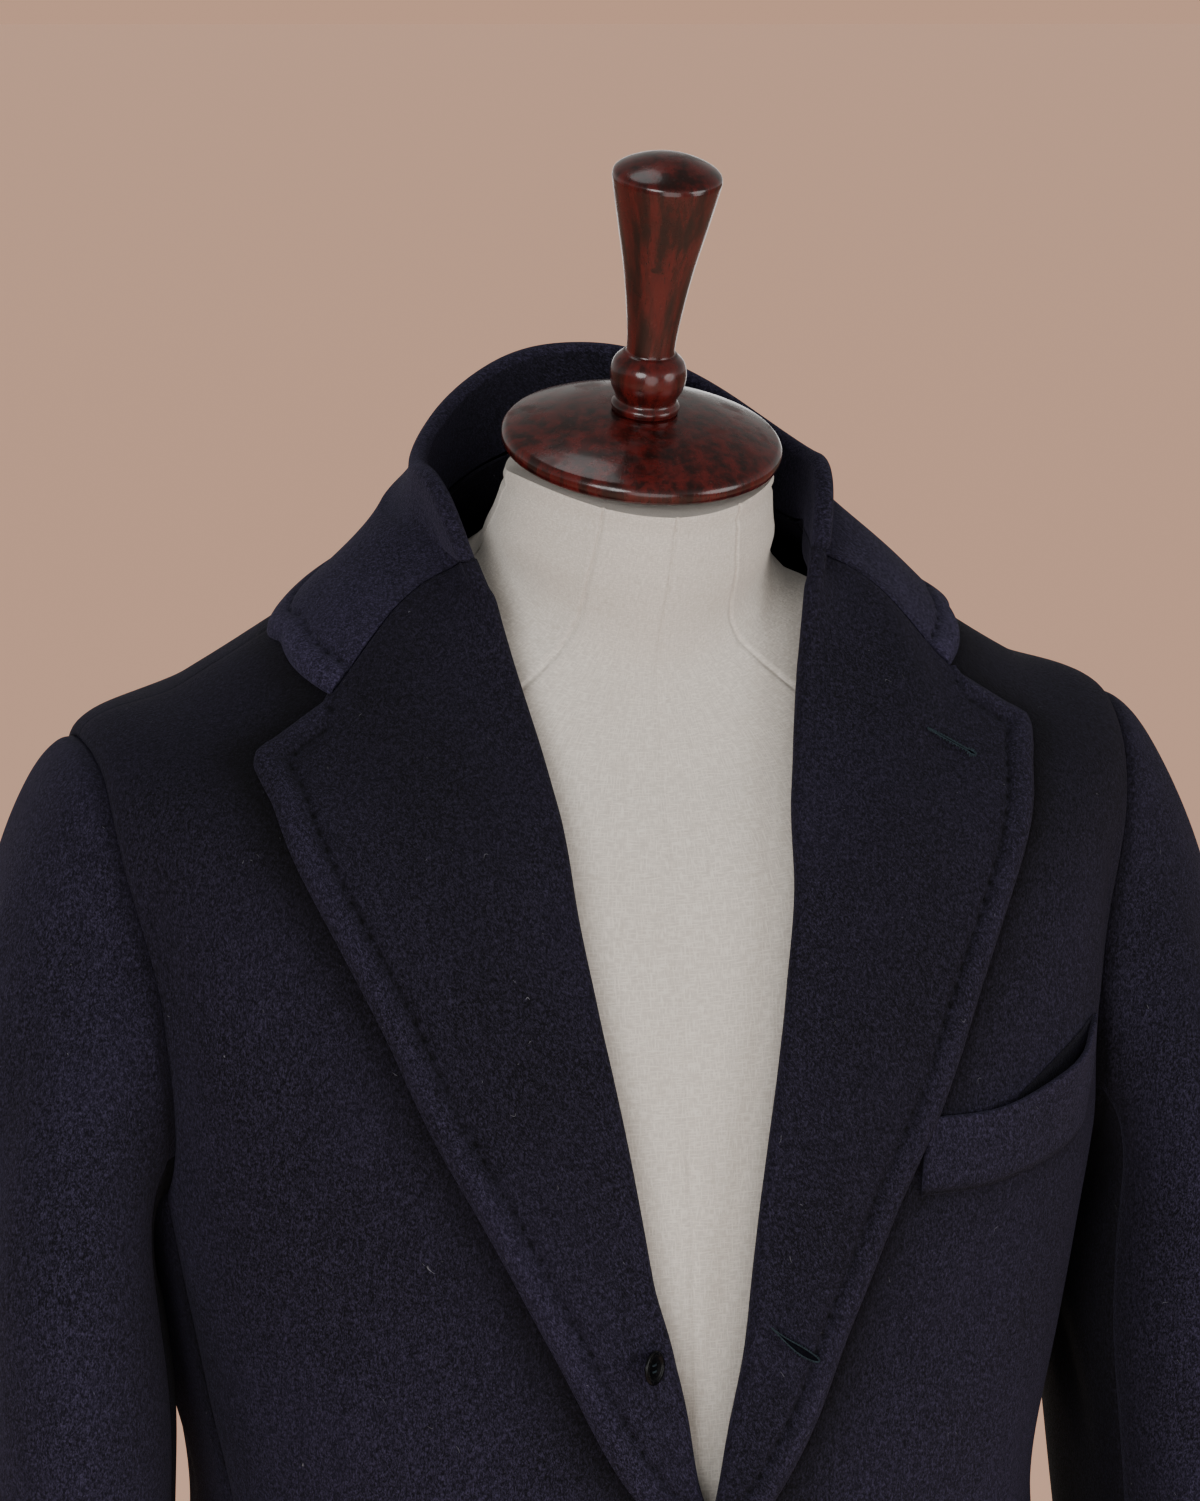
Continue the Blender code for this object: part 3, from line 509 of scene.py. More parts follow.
    def _outer(self, seam: Places, at: int, step: int, row: Array) -> Array:
        """Side seam up to the armhole, then the armhole up to the shoulder seam.

        Args:
            seam: the seam's (theta, level) pairs, from the hem up.
            at: half knot where the seam meets the armhole.
            step: 1 or -1, the way on round the armhole.
            row: row numbers, which need not be whole.

        Returns:
            One (theta, level) pair for each row.
        """
        low = self._seam(seam, np.minimum(row, self.side_rows), self.armhole(np.array(float(at))))
        high = self.armhole(at + step * np.maximum(row - self.side_rows, 0))
        return np.where((row <= self.side_rows)[:, None], low, high)

    def front_outer(self, row: Array) -> Array:
        """Side and armhole edge of the front, at rows."""
        return self._outer(self.SIDE_FRONT_SEAM, self.front_at, -1, row)

    def back_outer(self, row: Array) -> Array:
        """Side and armhole edge of the back, at rows."""
        return self._outer(self.SIDE_BACK_SEAM, self.back_at, 1, row)

    def front_edge_theta(self, level: Array) -> Array:
        """Theta of the front edge, past the centre line."""
        rows = spline(self.body.table, np.asarray(level, float))
        return -np.degrees(np.arctan2(FRONT_EDGE / rows[..., 0], 1.0))

    def front_inner(self, row: Array) -> Array:
        """Front edge, roll line and neck seam of the front, at rows.

        Args:
            row: row numbers, which need not be whole.

        Returns:
            One (theta, level) pair for each row.
        """
        skirt = np.array(self.ROW_LEVELS[:self.SKIRT_ROWS], float)
        edge = np.stack([self.front_edge_theta(skirt), skirt], -1)
        edge[-2:] = self.FRONT_FOOT
        edge = np.concatenate([edge, [self.ROLL[0]]])
        low = interpolated(row, np.arange(len(edge)), edge)
        roll = self.body.at_fraction(self.ROLL, (row - self.SKIRT_ROWS) / self.roll_rows)
        neck_start = self.SKIRT_ROWS + self.roll_rows
        neck = self.body.at_fraction(self.NECK_SEAM[:3], (row - neck_start) / self.NECK_ROWS)
        blend = smoothstep(row, neck_start - 0.5, neck_start)[:, None]
        upper = roll * (1 - blend) + neck * blend
        return np.where((row < self.SKIRT_ROWS)[:, None], low, upper)

    def back_inner(self, row: Array) -> Array:
        """Centre back and neck seam of the back, at rows.

        Args:
            row: row numbers, which need not be whole.

        Returns:
            One (theta, level) pair for each row.
        """
        spine_rows = self.back_rows - self.BACK_NECK_ROWS + 1
        levels = np.concatenate([self.ROW_LEVELS,
                                 np.linspace(6.1, 11.15, spine_rows - self.side_rows)])
        level = np.interp(row, np.arange(spine_rows), levels)
        spine = np.stack([np.full(len(row), 180.0), level], -1)
        start = spine_rows - 1
        neck = self.body.at_fraction(self.NECK_SEAM[:1:-1], (row - start) / self.BACK_NECK_ROWS)
        return np.where((row <= start)[:, None], spine, neck)

    def even_rows(self, inner: EdgeCurve, outer: EdgeCurve, last: int, count: int) -> Array:
        """Rows spaced evenly over the cloth between two edges.

        Args:
            inner: function from rows to places on one edge.
            outer: function from rows to places on the other.
            last: the last row.
            count: how many rows to return.

        Returns:
            Row numbers, which are not whole.
        """
        rows = np.linspace(0, last, 60 * last + 1)
        run = lengths_along(self.body.at(inner(rows))) + lengths_along(self.body.at(outer(rows)))
        return np.interp(np.linspace(0, run[-1], count), run, rows)

    def overlap_lift(self, theta: Array, level: Array, side: Side) -> Array:
        """How far the left front stands outside the right one, which lies on the surface.

        Args:
            theta: angles of the places, in degrees.
            level: levels of the places.
            side: the wearer's side.

        Returns:
            The lift at each place, in metres.
        """
        theta, level = np.broadcast_arrays(theta, level)
        if side is Side.RIGHT:
            return np.zeros(theta.shape)
        skirt = OVERLAP_LIFT * (1 - smoothstep(theta, 12, 26)) * (1 - smoothstep(level, 4.9, 6.2))
        crossing = CROSSING_LIFT * (1 - smoothstep(theta, 3, 12)) * bell(level - 4.35, 0.35)
        return skirt + crossing


# ---------------------------------------------------------------------------------------------
# Meshes
# ---------------------------------------------------------------------------------------------
def shaded_object(name: str, points: Array, faces: Sequence[Sequence[int]],
                  sharp: float) -> bpy.types.Object:
    """Adds a smooth-shaded mesh object to the scene.

    Args:
        name: the piece's name.
        points: vertex positions.
        faces: vertex numbers of each face.
        sharp: edges that turn by more degrees than this stay crisp.

    Returns:
        The new object.
    """
    mesh = bpy.data.meshes.new(name)
    mesh.from_pydata(np.asarray(points, float).tolist(), [], [[int(i) for i in f] for f in faces])
    mesh.update()
    mesh.calc_loop_triangles()
    co = np.asarray(points, float)
    corners = np.empty(len(mesh.loop_triangles) * 3, int)
    mesh.loop_triangles.foreach_get("vertices", corners)
    if np.linalg.det(co[corners.reshape(-1, 3)]).sum() < 0:
        mesh.flip_normals()
    mesh.shade_smooth()
    mesh.set_sharp_from_angle(angle=math.radians(sharp))
    obj = bpy.data.objects.new(name, mesh)
    bpy.context.scene.collection.objects.link(obj)
    return obj


def grid_faces(rows: int, columns: int, first: int = 0, flip: bool = False) -> Faces:
    """Quads of a grid of vertices that starts at number first.

    Args:
        rows: rows of the grid.
        columns: columns of the grid.
        first: number of its first vertex.
        flip: whether the faces look the other way.

    Returns:
        The quads.
    """
    at = first + np.arange(rows * columns).reshape(rows, columns)
    quads = np.stack([at[:-1, :-1], at[:-1, 1:], at[1:, 1:], at[1:, :-1]], -1).reshape(-1, 4)
    return [tuple(q) for q in (quads[:, ::-1] if flip else quads)]


def tube_faces(rows: int, columns: int, first: int = 0, capped: bool = True) -> Faces:
    """Quads of a grid that closes on itself crosswise, and fans to the two tips that follow it.

    Args:
        rows: rows of the grid.
        columns: columns of the grid.
        first: number of its first vertex.
        capped: whether the fans are wanted.

    Returns:
        The faces.
    """
    at = first + np.arange(rows * columns).reshape(rows, columns)
    nxt = np.roll(at, -1, axis=1)
    quads = np.stack([at[:-1], nxt[:-1], nxt[1:], at[1:]], -1).reshape(-1, 4)
    faces = [tuple(q) for q in quads]
    if capped:
        tip = first + rows * columns
        faces += [(nxt[0, k], at[0, k], tip) for k in range(columns)]
        faces += [(at[-1, k], nxt[-1, k], tip + 1) for k in range(columns)]
    return faces


def rim_places(rows: int, columns: int) -> tuple[Array, Array]:
    """Row and column numbers round the rim of a grid.

    Args:
        rows: rows of the grid.
        columns: columns of the grid.

    Returns:
        The row numbers and the column numbers.
    """
    rim = ([(0, j) for j in range(columns - 1)] + [(i, columns - 1) for i in range(rows - 1)]
           + [(rows - 1, j) for j in range(columns - 1, 0, -1)]
           + [(i, 0) for i in range(rows - 1, 0, -1)])
    i, j = np.array(rim).T
    return i, j


def cloth_shell(outer: Array, inner: Array) -> tuple[Array, Faces]:
    """Points and faces of a closed cloth wall with softly rounded edges.

    Args:
        outer: grid of points on the right side of the cloth.
        inner: grid of the same shape on the wrong side.

    Returns:
        The points and the faces.
    """
    rows, columns = outer.shape[:2]
    i, j = rim_places(rows, columns)
    top, bottom = outer[i, j], inner[i, j]
    middle = (top + bottom) / 2
    away = unit(top - outer[np.clip(i, 1, rows - 2), np.clip(j, 1, columns - 2)])
    depth = np.linalg.norm(top - bottom, axis=-1, keepdims=True)
    bulge = middle + away * depth * RIM_BULGE
    upper = top * 0.5 + bulge * 0.5 + (top - middle) * RIM_SHOULDER
    lower = bottom * 0.5 + bulge * 0.5 + (bottom - middle) * RIM_SHOULDER
    size, rim = rows * columns, np.arange(len(i))
    points = np.concatenate([outer.reshape(-1, 3), inner.reshape(-1, 3), upper, bulge, lower])
    faces = grid_faces(rows, columns) + grid_faces(rows, columns, size, flip=True)
    first = i * columns + j
    loops = [first, *(2 * size + k * len(rim) + rim for k in range(3)), first + size]
    for first, second in zip(loops, loops[1:]):
        a, b = np.roll(first, -1), np.roll(second, -1)
        faces += [tuple(q) for q in np.stack([a, first, second, b], -1)]
    return points, faces


def swept_strip(loops: Array, pairs: Sequence[tuple[int, int]]) -> tuple[Array, Faces]:
    """Points and faces of a closed sweep whose ends are closed by a strip across the section.

    Args:
        loops: closed loops of points, one for each row.
        pairs: places in a loop that face one another, from one end of the section to the other,
            with the first of each pair in rising order.

    Returns:
        The points and the faces.
    """
    rows, columns = loops.shape[:2]
    at = np.arange(rows * columns).reshape(rows, columns)
    faces = tube_faces(rows, columns, capped=False)
    for row, step in ((0, -1), (rows - 1, 1)):
        for (a, b), (c, d) in zip(pairs, pairs[1:]):
            ring = [at[row, a], at[row, c], at[row, d], at[row, b]]
            ring = [p for n, p in enumerate(ring) if p not in ring[:n]]
            faces.append(tuple(ring[::step]))
    return loops.reshape(-1, 3), faces


@dataclass(frozen=True)
class Turn:
    """A point of a turned outline."""

    along: float
    radius: float


def turned(name: str, outline: Sequence[Turn], origin: Array, axis: Array, segments: int,
           smooth_steps: int) -> bpy.types.Object:
    """A closed turned piece through a smooth outline.

    Args:
        name: the piece's name.
        outline: points from axis to axis.
        origin: where along is 0.
        axis: direction of along.
        segments: facets round the piece.
        smooth_steps: points between two outline points.

    Returns:
        The new object.
    """
    table = np.array([astuple(turn) for turn in outline])
    inner = spline(table[1:-1], np.linspace(0, len(table) - 3, (len(table) - 3) * smooth_steps + 1))
    inner[:, 1] = np.maximum(inner[:, 1], 1e-5)
    axis = unit(np.array(axis, float))
    side = unit(np.cross((0.0, 1.0, 0.0) if abs(axis[1]) < 0.9 else (1.0, 0.0, 0.0), axis))
    other = np.cross(axis, side)
    angle = np.linspace(0, 2 * np.pi, segments, endpoint=False)
    spin = np.cos(angle)[:, None] * side + np.sin(angle)[:, None] * other
    rings = np.array(origin) + axis * inner[:, :1, None] + spin[None] * inner[:, 1, None, None]
    ends = np.array([origin + axis * table[0, 0], origin + axis * table[-1, 0]])
    points = np.concatenate([rings.reshape(-1, 3), ends])
    return shaded_object(name, points, tube_faces(len(inner), segments), TURNED_SHARP)


def threads(name: str, paths: Sequence[Array], radius: float, sides: int = 6) -> bpy.types.Object:
    """One piece of round threads along some paths, with pointed ends.

    Args:
        name: the piece's name.
        paths: each a line of points.
        radius: the thread's radius.
        sides: facets round the thread.

    Returns:
        The new object.
    """
    all_points: list[Array] = []
    faces: Faces = []
    start = 0
    angle = np.linspace(0, 2 * np.pi, sides, endpoint=False)
    for path in paths:
        tangent = unit(np.gradient(path, axis=0))
        guide = (0.0, 0.0, 1.0) if abs(tangent[0, 2]) < 0.9 else (1.0, 0.0, 0.0)
        across = unit(np.cross(tangent, guide))
        up = np.cross(across, tangent)
        grow = np.sqrt(np.clip(1 - np.linspace(-1, 1, len(path)) ** 8, 0.10, 1))[:, None, None]
        ring = across[:, None] * np.cos(angle)[:, None] + up[:, None] * np.sin(angle)[:, None]
        body = path[:, None] + ring * radius * grow
        tips = [path[0] - tangent[0] * radius * 0.5, path[-1] + tangent[-1] * radius * 0.5]
        all_points += [body.reshape(-1, 3), tips]
        faces += tube_faces(len(path), sides, start)
        start += len(path) * sides + 2
    return shaded_object(name, np.concatenate(all_points), faces, THREAD_SHARP)


# ---------------------------------------------------------------------------------------------
# Shader nodes
# ---------------------------------------------------------------------------------------------
Colour = tuple[float, float, float]
Socket = object
Sockets = bpy.types.bpy_prop_collection


class Graph:
    """Adds nodes to one shader tree and links them."""

    def __init__(self, tree: bpy.types.NodeTree) -> None:
        """Keeps the tree that nodes go into."""
        self.tree = tree

    def add(self, kind: str, inputs: dict[str | int, Socket] | None = None,
            **settings: object) -> bpy.types.Node:
        """Adds a node.

        Args:
            kind: Blender's name of the node type.
            inputs: a socket to link or a value to set, for each input.
            settings: properties of the node.

        Returns:
            The node.
        """
        node = self.tree.nodes.new(kind)
        for name, value in settings.items():
            setattr(node, name, value)
        for key, value in (inputs or {}).items():
            self.feed(node.inputs[key], value)
        return node

    def feed(self, socket: bpy.types.NodeSocket, value: Socket) -> None:
        """Links a socket, or sets a value, on an input."""
        if isinstance(value, bpy.types.NodeSocket):
            self.tree.links.new(value, socket)
        elif isinstance(value, tuple) and len(value) == 3 and socket.type == "RGBA":
            socket.default_value = (*value, 1.0)
        else:
            socket.default_value = value

    def math(self, operation: str, first: Socket, second: Socket = 0.0) -> Socket:
        """A math node's result."""
        return self.add("ShaderNodeMath", {0: first, 1: second}, operation=operation).outputs[0]

    def vector(self, operation: str, first: Socket, second: Socket) -> Socket:
        """A vector math node's result."""
        return self.add("ShaderNodeVectorMath", {0: first, 1: second}, operation=operation).outputs[0]

    def noise(self, at: Socket, scale: Socket, detail: float = 2.0, rough: float = 0.5) -> Socket:
        """A noise value from about 0.3 to 0.7."""
        return self.add("ShaderNodeTexNoise", {"Vector": at, "Scale": scale, "Detail": detail,
                                               "Roughness": rough}).outputs["Fac"]

    def effect(self, name: str, inputs: dict[str | int, Socket] | None = None) -> Sockets:
        """The outputs of a shared effect, with some of its inputs fed."""
        return self.add("ShaderNodeGroup", inputs, node_tree=GROUPS.get(name)).outputs

    def scaled_sum(self, *terms: tuple[Socket, float]) -> Socket:
        """The sum of some values, each times its weight."""
        first, *others = (self.math("MULTIPLY", value, weight) for value, weight in terms)
        for other in others:
            first = self.math("ADD", first, other)
        return first

    def speckle(self, colour: Socket, mask: Socket, share: float, over: Socket) -> Socket:
        """A colour with a share of another laid over it by a mask."""
        return self.mix(self.math("MULTIPLY", mask, share), colour, over)

    def remap(self, value: Socket, low: float, high: float, to_low: float = 0.0,
              to_high: float = 1.0) -> Socket:
        """The value carried smoothly from one range to another."""
        node = self.add("ShaderNodeMapRange", {"Value": value, "From Min": low, "From Max": high,
                                               "To Min": to_low, "To Max": to_high},
                        interpolation_type="SMOOTHSTEP")
        return node.outputs["Result"]

    def mix(self, factor: Socket, first: Socket, second: Socket) -> Socket:
        """A blend of two colours."""
        return self.add("ShaderNodeMix", {0: factor, 6: first, 7: second}, data_type="RGBA").outputs[2]

    def stretched(self, at: Socket, turn: Socket, stretch: Socket) -> Socket:
        """Places turned, then squeezed along Z, so that a noise on them makes streaks.

        Args:
            at: the places.
            turn: rotation in radians.
            stretch: how many times longer than wide the streaks are.

        Returns:
            The new places.
        """
        leaning = self.add("ShaderNodeMapping", {"Vector": at, "Rotation": turn}, vector_type="POINT")
        along = self.math("DIVIDE", 1.0, stretch)
        squeeze = self.add("ShaderNodeCombineXYZ", {0: 1.0, 1: 1.0, 2: along})
        return self.vector("MULTIPLY", leaning.outputs[0], squeeze.outputs[0])

    def shifted(self, at: Socket, by: tuple[float, float, float]) -> Socket:
        """Places moved, so that a noise on them is another one."""
        return self.vector("ADD", at, by)

    def finish(self, shader: bpy.types.Node, colour: Socket, rough: Socket, height: Socket,
               relief: tuple[float, float], constants: dict[str, Socket]) -> None:
        """Feeds a Principled shader.

        Args:
            shader: the Principled shader.
            colour: its base colour.
            rough: its roughness.
            height: relief that its normal follows.
            relief: strength of the relief, and its distance in metres.
            constants: inputs that are the same all over.
        """
        bump = self.add("ShaderNodeBump", {"Height": height, "Strength": relief[0],
                                           "Distance": relief[1]})
        self.feed(shader.inputs["Base Color"], colour)
        self.feed(shader.inputs["Roughness"], rough)
        self.feed(shader.inputs["Normal"], bump.outputs["Normal"])
        for name, value in constants.items():
            self.feed(shader.inputs[name], value)


class EffectGroups:
    """The shared surface effects, each a node group that is built once."""

    def __init__(self) -> None:
        """Starts with no groups built."""
        self.built: dict[str, bpy.types.NodeTree] = {}

    def get(self, name: str) -> bpy.types.NodeTree:
        """An effect by its name, built on first use."""
        if name not in self.built:
            makers = {"Nap": self._nap, "Weave": self._weave, "Grain": self._grain, "Wear": self._wear}
            makers[name](name)
        return self.built[name]

    def _start(self, name: str, **inputs: object) -> tuple[Graph, Sockets]:
        """A new group's graph and its inputs, whose names have _ for a space.

        Args:
            name: the group's name.
            inputs: its inputs and their values.

        Returns:
            The graph and the sockets of its inputs.
        """
        tree = self.built[name] = bpy.data.node_groups.new(name, "ShaderNodeTree")
        for label, value in inputs.items():
            kind = "NodeSocketVector" if isinstance(value, tuple) else "NodeSocketFloat"
            socket = tree.interface.new_socket(label.replace("_", " "), in_out="INPUT",
                                               socket_type=kind)
            socket.default_value = value
        graph = Graph(tree)
        return graph, graph.add("NodeGroupInput").outputs

    def _end(self, graph: Graph, **outputs: Socket) -> None:
        """Gives a group its outputs."""
        for label in outputs:
            graph.tree.interface.new_socket(label, in_out="OUTPUT", socket_type="NodeSocketFloat")
        graph.add("NodeGroupOutput", outputs)

    def _nap(self, name: str) -> None:
        """Brushed wool: short streaky fibres, slow mottling, stray lint, and the painted light and shade
        stored at each place.

        Args:
            name: the group's name.
        """
        g, given = self._start(name, Fibre_Scale=1400.0, Fibre_Length=2.4, Lean=(0.0, 0.0, 0.0))
        scale = given["Fibre Scale"]
        place = g.add("ShaderNodeTexCoord").outputs["Object"]
        sway = g.add("ShaderNodeTexNoise", {"Vector": place, "Scale": 120.0, "Detail": 2.0})
        sway = g.vector("SUBTRACT", sway.outputs["Color"], (0.5, 0.5, 0.5))
        sway = g.vector("MULTIPLY", sway, (0.0022, 0.0022, 0.0022))
        streak = g.stretched(g.vector("ADD", place, sway), given["Lean"], given["Fibre Length"])
        fine = g.noise(streak, scale, 2.0, 0.70)
        coarse = g.noise(streak, g.math("MULTIPLY", scale, 0.52), 2.0, 0.55)
        patches = g.noise(place, 17.0, 3.0, 0.55)
        clumps = g.noise(place, 640.0, 2.0, 0.60)
        fibre = g.scaled_sum((fine, 0.52), (coarse, 0.26), (clumps, 0.22))
        line = g.noise(g.stretched(place, (0.4, 0.5, 0.0), 2.2), 150.0, 1.0, 0.4)
        thin = g.remap(g.math("ABSOLUTE", g.math("SUBTRACT", line, 0.5)), 0.0, 0.005, 1.0, 0.0)
        rare = g.remap(g.noise(g.shifted(place, (3.1, 1.7, 5.3)), 150.0, 2.0, 0.5), 0.695, 0.72)
        # Painted light and shade: the value stored at each point, from -1 to 1, becomes a brightness from
        # 0.16 to 1.84.
        tone = g.add("ShaderNodeAttribute", attribute_name="tone").outputs["Fac"]
        bright = g.add("ShaderNodeMapRange", {"Value": tone, "From Min": -1.0, "From Max": 1.0,
                                              "To Min": 0.16, "To Max": 1.84})
        mottle = g.remap(g.scaled_sum((patches, 0.62), (clumps, 0.38)), 0.34, 0.66)
        self._end(g, Fibre=g.remap(fibre, 0.36, 0.66), Mottle=mottle,
                  Lint=g.math("MULTIPLY", thin, rare), Tone=bright.outputs["Result"],
                  Height=g.scaled_sum((fibre, 0.8), (clumps, 0.25)))

    def _weave(self, name: str) -> None:
        """Linen canvas: slubby threads both ways, laid out on the cloth's own lengths.

        Args:
            name: the group's name.
        """
        g, given = self._start(name, Thread_Scale=1500.0, Slub_Length=7.0)
        scale, length = given["Thread Scale"], given["Slub Length"]
        place = g.add("ShaderNodeAttribute", attribute_name="cloth_place").outputs["Vector"]
        warp = g.stretched(place, (math.pi / 2, 0.0, 0.0), length)
        weft = g.stretched(place, (0.0, math.pi / 2, 0.0), length)
        across = g.noise(g.shifted(weft, (7.0, 3.0, 1.0)), scale)
        thread = g.math("MAXIMUM", g.noise(warp, scale), across)
        thick = g.math("MAXIMUM", g.noise(warp, 430.0), g.noise(weft, 430.0))
        self._end(g, Thread=g.remap(thread, 0.44, 0.66), Slub=g.remap(thick, 0.56, 0.72),
                  Height=g.math("ADD", thread, g.math("MULTIPLY", thick, 0.5)))

    def _grain(self, name: str) -> None:
        """Turned wood: long streaks and pores along the turning axis, and dark marks.

        Args:
            name: the group's name.
        """
        g, given = self._start(name, Turn=(0.0, 0.0, 0.0), Streak_Scale=150.0)
        place = g.add("ShaderNodeTexCoord").outputs["Object"]
        bend = g.add("ShaderNodeTexNoise", {"Vector": place, "Scale": 22.0, "Detail": 1.0})
        bend = g.vector("MULTIPLY", bend.outputs["Color"], (0.008, 0.008, 0.008))
        place = g.vector("ADD", place, bend)
        along = g.stretched(place, given["Turn"], 14.0)
        streak = g.noise(along, given["Streak Scale"], 4.0, 0.62)
        pore = g.noise(g.stretched(place, given["Turn"], 22.0), 1100.0, 1.0, 0.5)
        mark = g.noise(g.shifted(place, (0.9, 2.0, 4.0)), 95.0, 3.0, 0.6)
        height = g.math("SUBTRACT", g.math("MULTIPLY", streak, 0.4), g.math("MULTIPLY", pore, 0.5))
        self._end(g, Streak=g.remap(streak, 0.34, 0.66), Pore=g.remap(pore, 0.60, 0.72),
                  Mark=g.remap(mark, 0.63, 0.74), Height=height)

    def _wear(self, name: str) -> None:
        """Handling: soft rubbed patches, fine scratches and a little dust.

        Args:
            name: the group's name.
        """
        g, given = self._start(name, Patch_Scale=60.0)
        place = g.add("ShaderNodeTexCoord").outputs["Object"]
        rubbed = g.noise(place, given["Patch Scale"], 5.0, 0.62)
        line = g.noise(g.stretched(place, (0.9, 0.3, 0.2), 26.0), 420.0, 2.0, 0.5)
        facing = g.add("ShaderNodeNewGeometry").outputs["Normal"]
        up = g.add("ShaderNodeSeparateXYZ", {0: facing}).outputs["Z"]
        speck = g.noise(g.shifted(place, (5.0, 1.0, 2.0)), 900.0, 2.0, 0.6)
        dust = g.math("MULTIPLY", g.remap(speck, 0.62, 0.74), g.remap(up, 0.2, 0.95))
        self._end(g, Rubbed=g.remap(rubbed, 0.48, 0.70), Scratch=g.remap(line, 0.70, 0.76), Dust=dust)


GROUPS = EffectGroups()


def new_material(name: str) -> tuple[bpy.types.Material, Graph, bpy.types.Node]:
    """A material with its graph and its Principled shader.

    Args:
        name: the material's name.

    Returns:
        The material, its graph and its shader.
    """
    made = bpy.data.materials.new(name)
    made.use_nodes = True
    return made, Graph(made.node_tree), made.node_tree.nodes["Principled BSDF"]


@dataclass(frozen=True)
class WoolFinish:
    """Brushed overcoating, whose nap lies in one direction on each piece."""

    name: str
    deep: Colour = (0.0026, 0.0021, 0.0048)
    pile: Colour = (0.0066, 0.0053, 0.0128)
    fibre: Colour = (0.0450, 0.0380, 0.0800)
    lint: Colour = (0.26, 0.26, 0.29)
    lean: tuple[float, float, float] = (0.0, 0.0, 0.0)
    fibre_scale: float = 2200.0
    # Painted shade: the share of its colour that the piece keeps, so that the same wool looks darker on some
    # pieces.
    shade: float = 1.0
    fibre_length: float = 2.4
    relief: float = 0.0013
    sheen: float = 0.07
    sheen_tint: Colour = (0.50, 0.46, 0.80)

    def material(self) -> bpy.types.Material:
        """The cloth's material."""
        made, g, shader = new_material(self.name)
        nap = g.effect("Nap", {"Fibre Scale": self.fibre_scale, "Fibre Length": self.fibre_length,
                               "Lean": self.lean})
        ground = g.mix(nap["Mottle"], self.deep, self.pile)
        brushed = g.speckle(ground, g.math("POWER", nap["Fibre"], 1.9), 0.80, self.fibre)
        # Painted light and shade: the value stored at each point, times the piece's painted shade, scales the
        # wool's colour.
        scale = g.math("MULTIPLY", nap["Tone"], self.shade)
        with_painted_light = g.add("ShaderNodeVectorMath", {0: brushed, "Scale": scale}, operation="SCALE")
        g.finish(shader, g.speckle(with_painted_light.outputs[0], nap["Lint"], 0.5, self.lint),
                 g.remap(nap["Fibre"], 0.0, 1.0, 1.0, 0.86), nap["Height"], (0.9, self.relief),
                 {"Specular IOR Level": 0.18, "Sheen Weight": self.sheen, "Sheen Roughness": 0.42,
                  "Sheen Tint": self.sheen_tint})
        return made


@dataclass(frozen=True)
class CanvasFinish:
    """Unbleached linen canvas of the dress form."""

    name: str = "form canvas"
    ground: Colour = (0.50, 0.455, 0.405)
    thread: Colour = (0.64, 0.595, 0.535)
    slub: Colour = (0.42, 0.370, 0.315)

    def material(self) -> bpy.types.Material:
        """The canvas's material."""
        made, g, shader = new_material(self.name)
        weave = g.effect("Weave")
        wear = g.effect("Wear", {"Patch Scale": 14.0})
        cloth = g.mix(weave["Thread"], self.ground, self.thread)
        cloth = g.speckle(cloth, weave["Slub"], 0.26, self.slub)
        cloth = g.speckle(cloth, wear["Rubbed"], 0.12, self.slub)
        g.finish(shader, cloth, g.remap(weave["Thread"], 0.0, 1.0, 0.96, 0.82), weave["Height"],
                 (0.6, 0.0007), {"Specular IOR Level": 0.25, "Sheen Weight": 0.08})
        return made


@dataclass(frozen=True)
class WoodFinish:
    """Polished mahogany, turned about a leaning axis."""

    name: str
    tilt: float
    dark: Colour = (0.012, 0.0028, 0.0022)
    red: Colour = (0.076, 0.0066, 0.0055)
    worn: Colour = (0.088, 0.0135, 0.0100)
    dust: Colour = (0.40, 0.37, 0.33)
    rubbed: float = 0.14

    def material(self) -> bpy.types.Material:
        """The wood's material."""
        made, g, shader = new_material(self.name)
        grain = g.effect("Grain", {"Turn": (-self.tilt, 0.0, 0.0)})
        wear = g.effect("Wear")
        wood = g.mix(grain["Streak"], self.dark, self.red)
        wood = g.speckle(wood, grain["Pore"], 0.55, self.dark)
        wood = g.speckle(wood, grain["Mark"], 0.80, self.dark)
        wood = g.speckle(wood, wear["Rubbed"], self.rubbed, self.worn)
        wood = g.speckle(wood, wear["Dust"], 0.05, self.dust)
        rough = g.math("ADD", g.remap(wear["Rubbed"], 0.0, 1.0, 0.24, 0.40),
                       g.math("MULTIPLY", wear["Scratch"], 0.15))
        g.finish(shader, wood, rough, grain["Height"], (0.35, 0.0003), {
            "Coat Weight": g.remap(wear["Rubbed"], 0.0, 1.0, 0.42, 0.20), "Coat Roughness": 0.13,
            "Specular IOR Level": 0.28})
        return made


@dataclass(frozen=True)
class HardFinish:
    """Horn buttons and the painted stand: dark, with soft marbling and handling marks."""

    name: str
    dark: Colour
    light: Colour
    rough: float
    vein_scale: float = 160.0
    gloss: float = 0.5
    dust: Colour = (0.3, 0.3, 0.3)

    def material(self) -> bpy.types.Material:
        """The hard material."""
        made, g, shader = new_material(self.name)
        wear = g.effect("Wear", {"Patch Scale": self.vein_scale})
        grain = g.effect("Grain", {"Streak Scale": self.vein_scale})
        body = g.mix(grain["Streak"], self.dark, self.light)
        rough = g.math("ADD", g.remap(wear["Rubbed"], 0.0, 1.0, self.rough, self.rough + 0.18),
                       g.math("MULTIPLY", wear["Scratch"], 0.2))
        g.finish(shader, g.speckle(body, wear["Dust"], 0.10, self.dust), rough, wear["Rubbed"],
                 (0.15, 0.0002), {"Specular IOR Level": self.gloss})
        return made


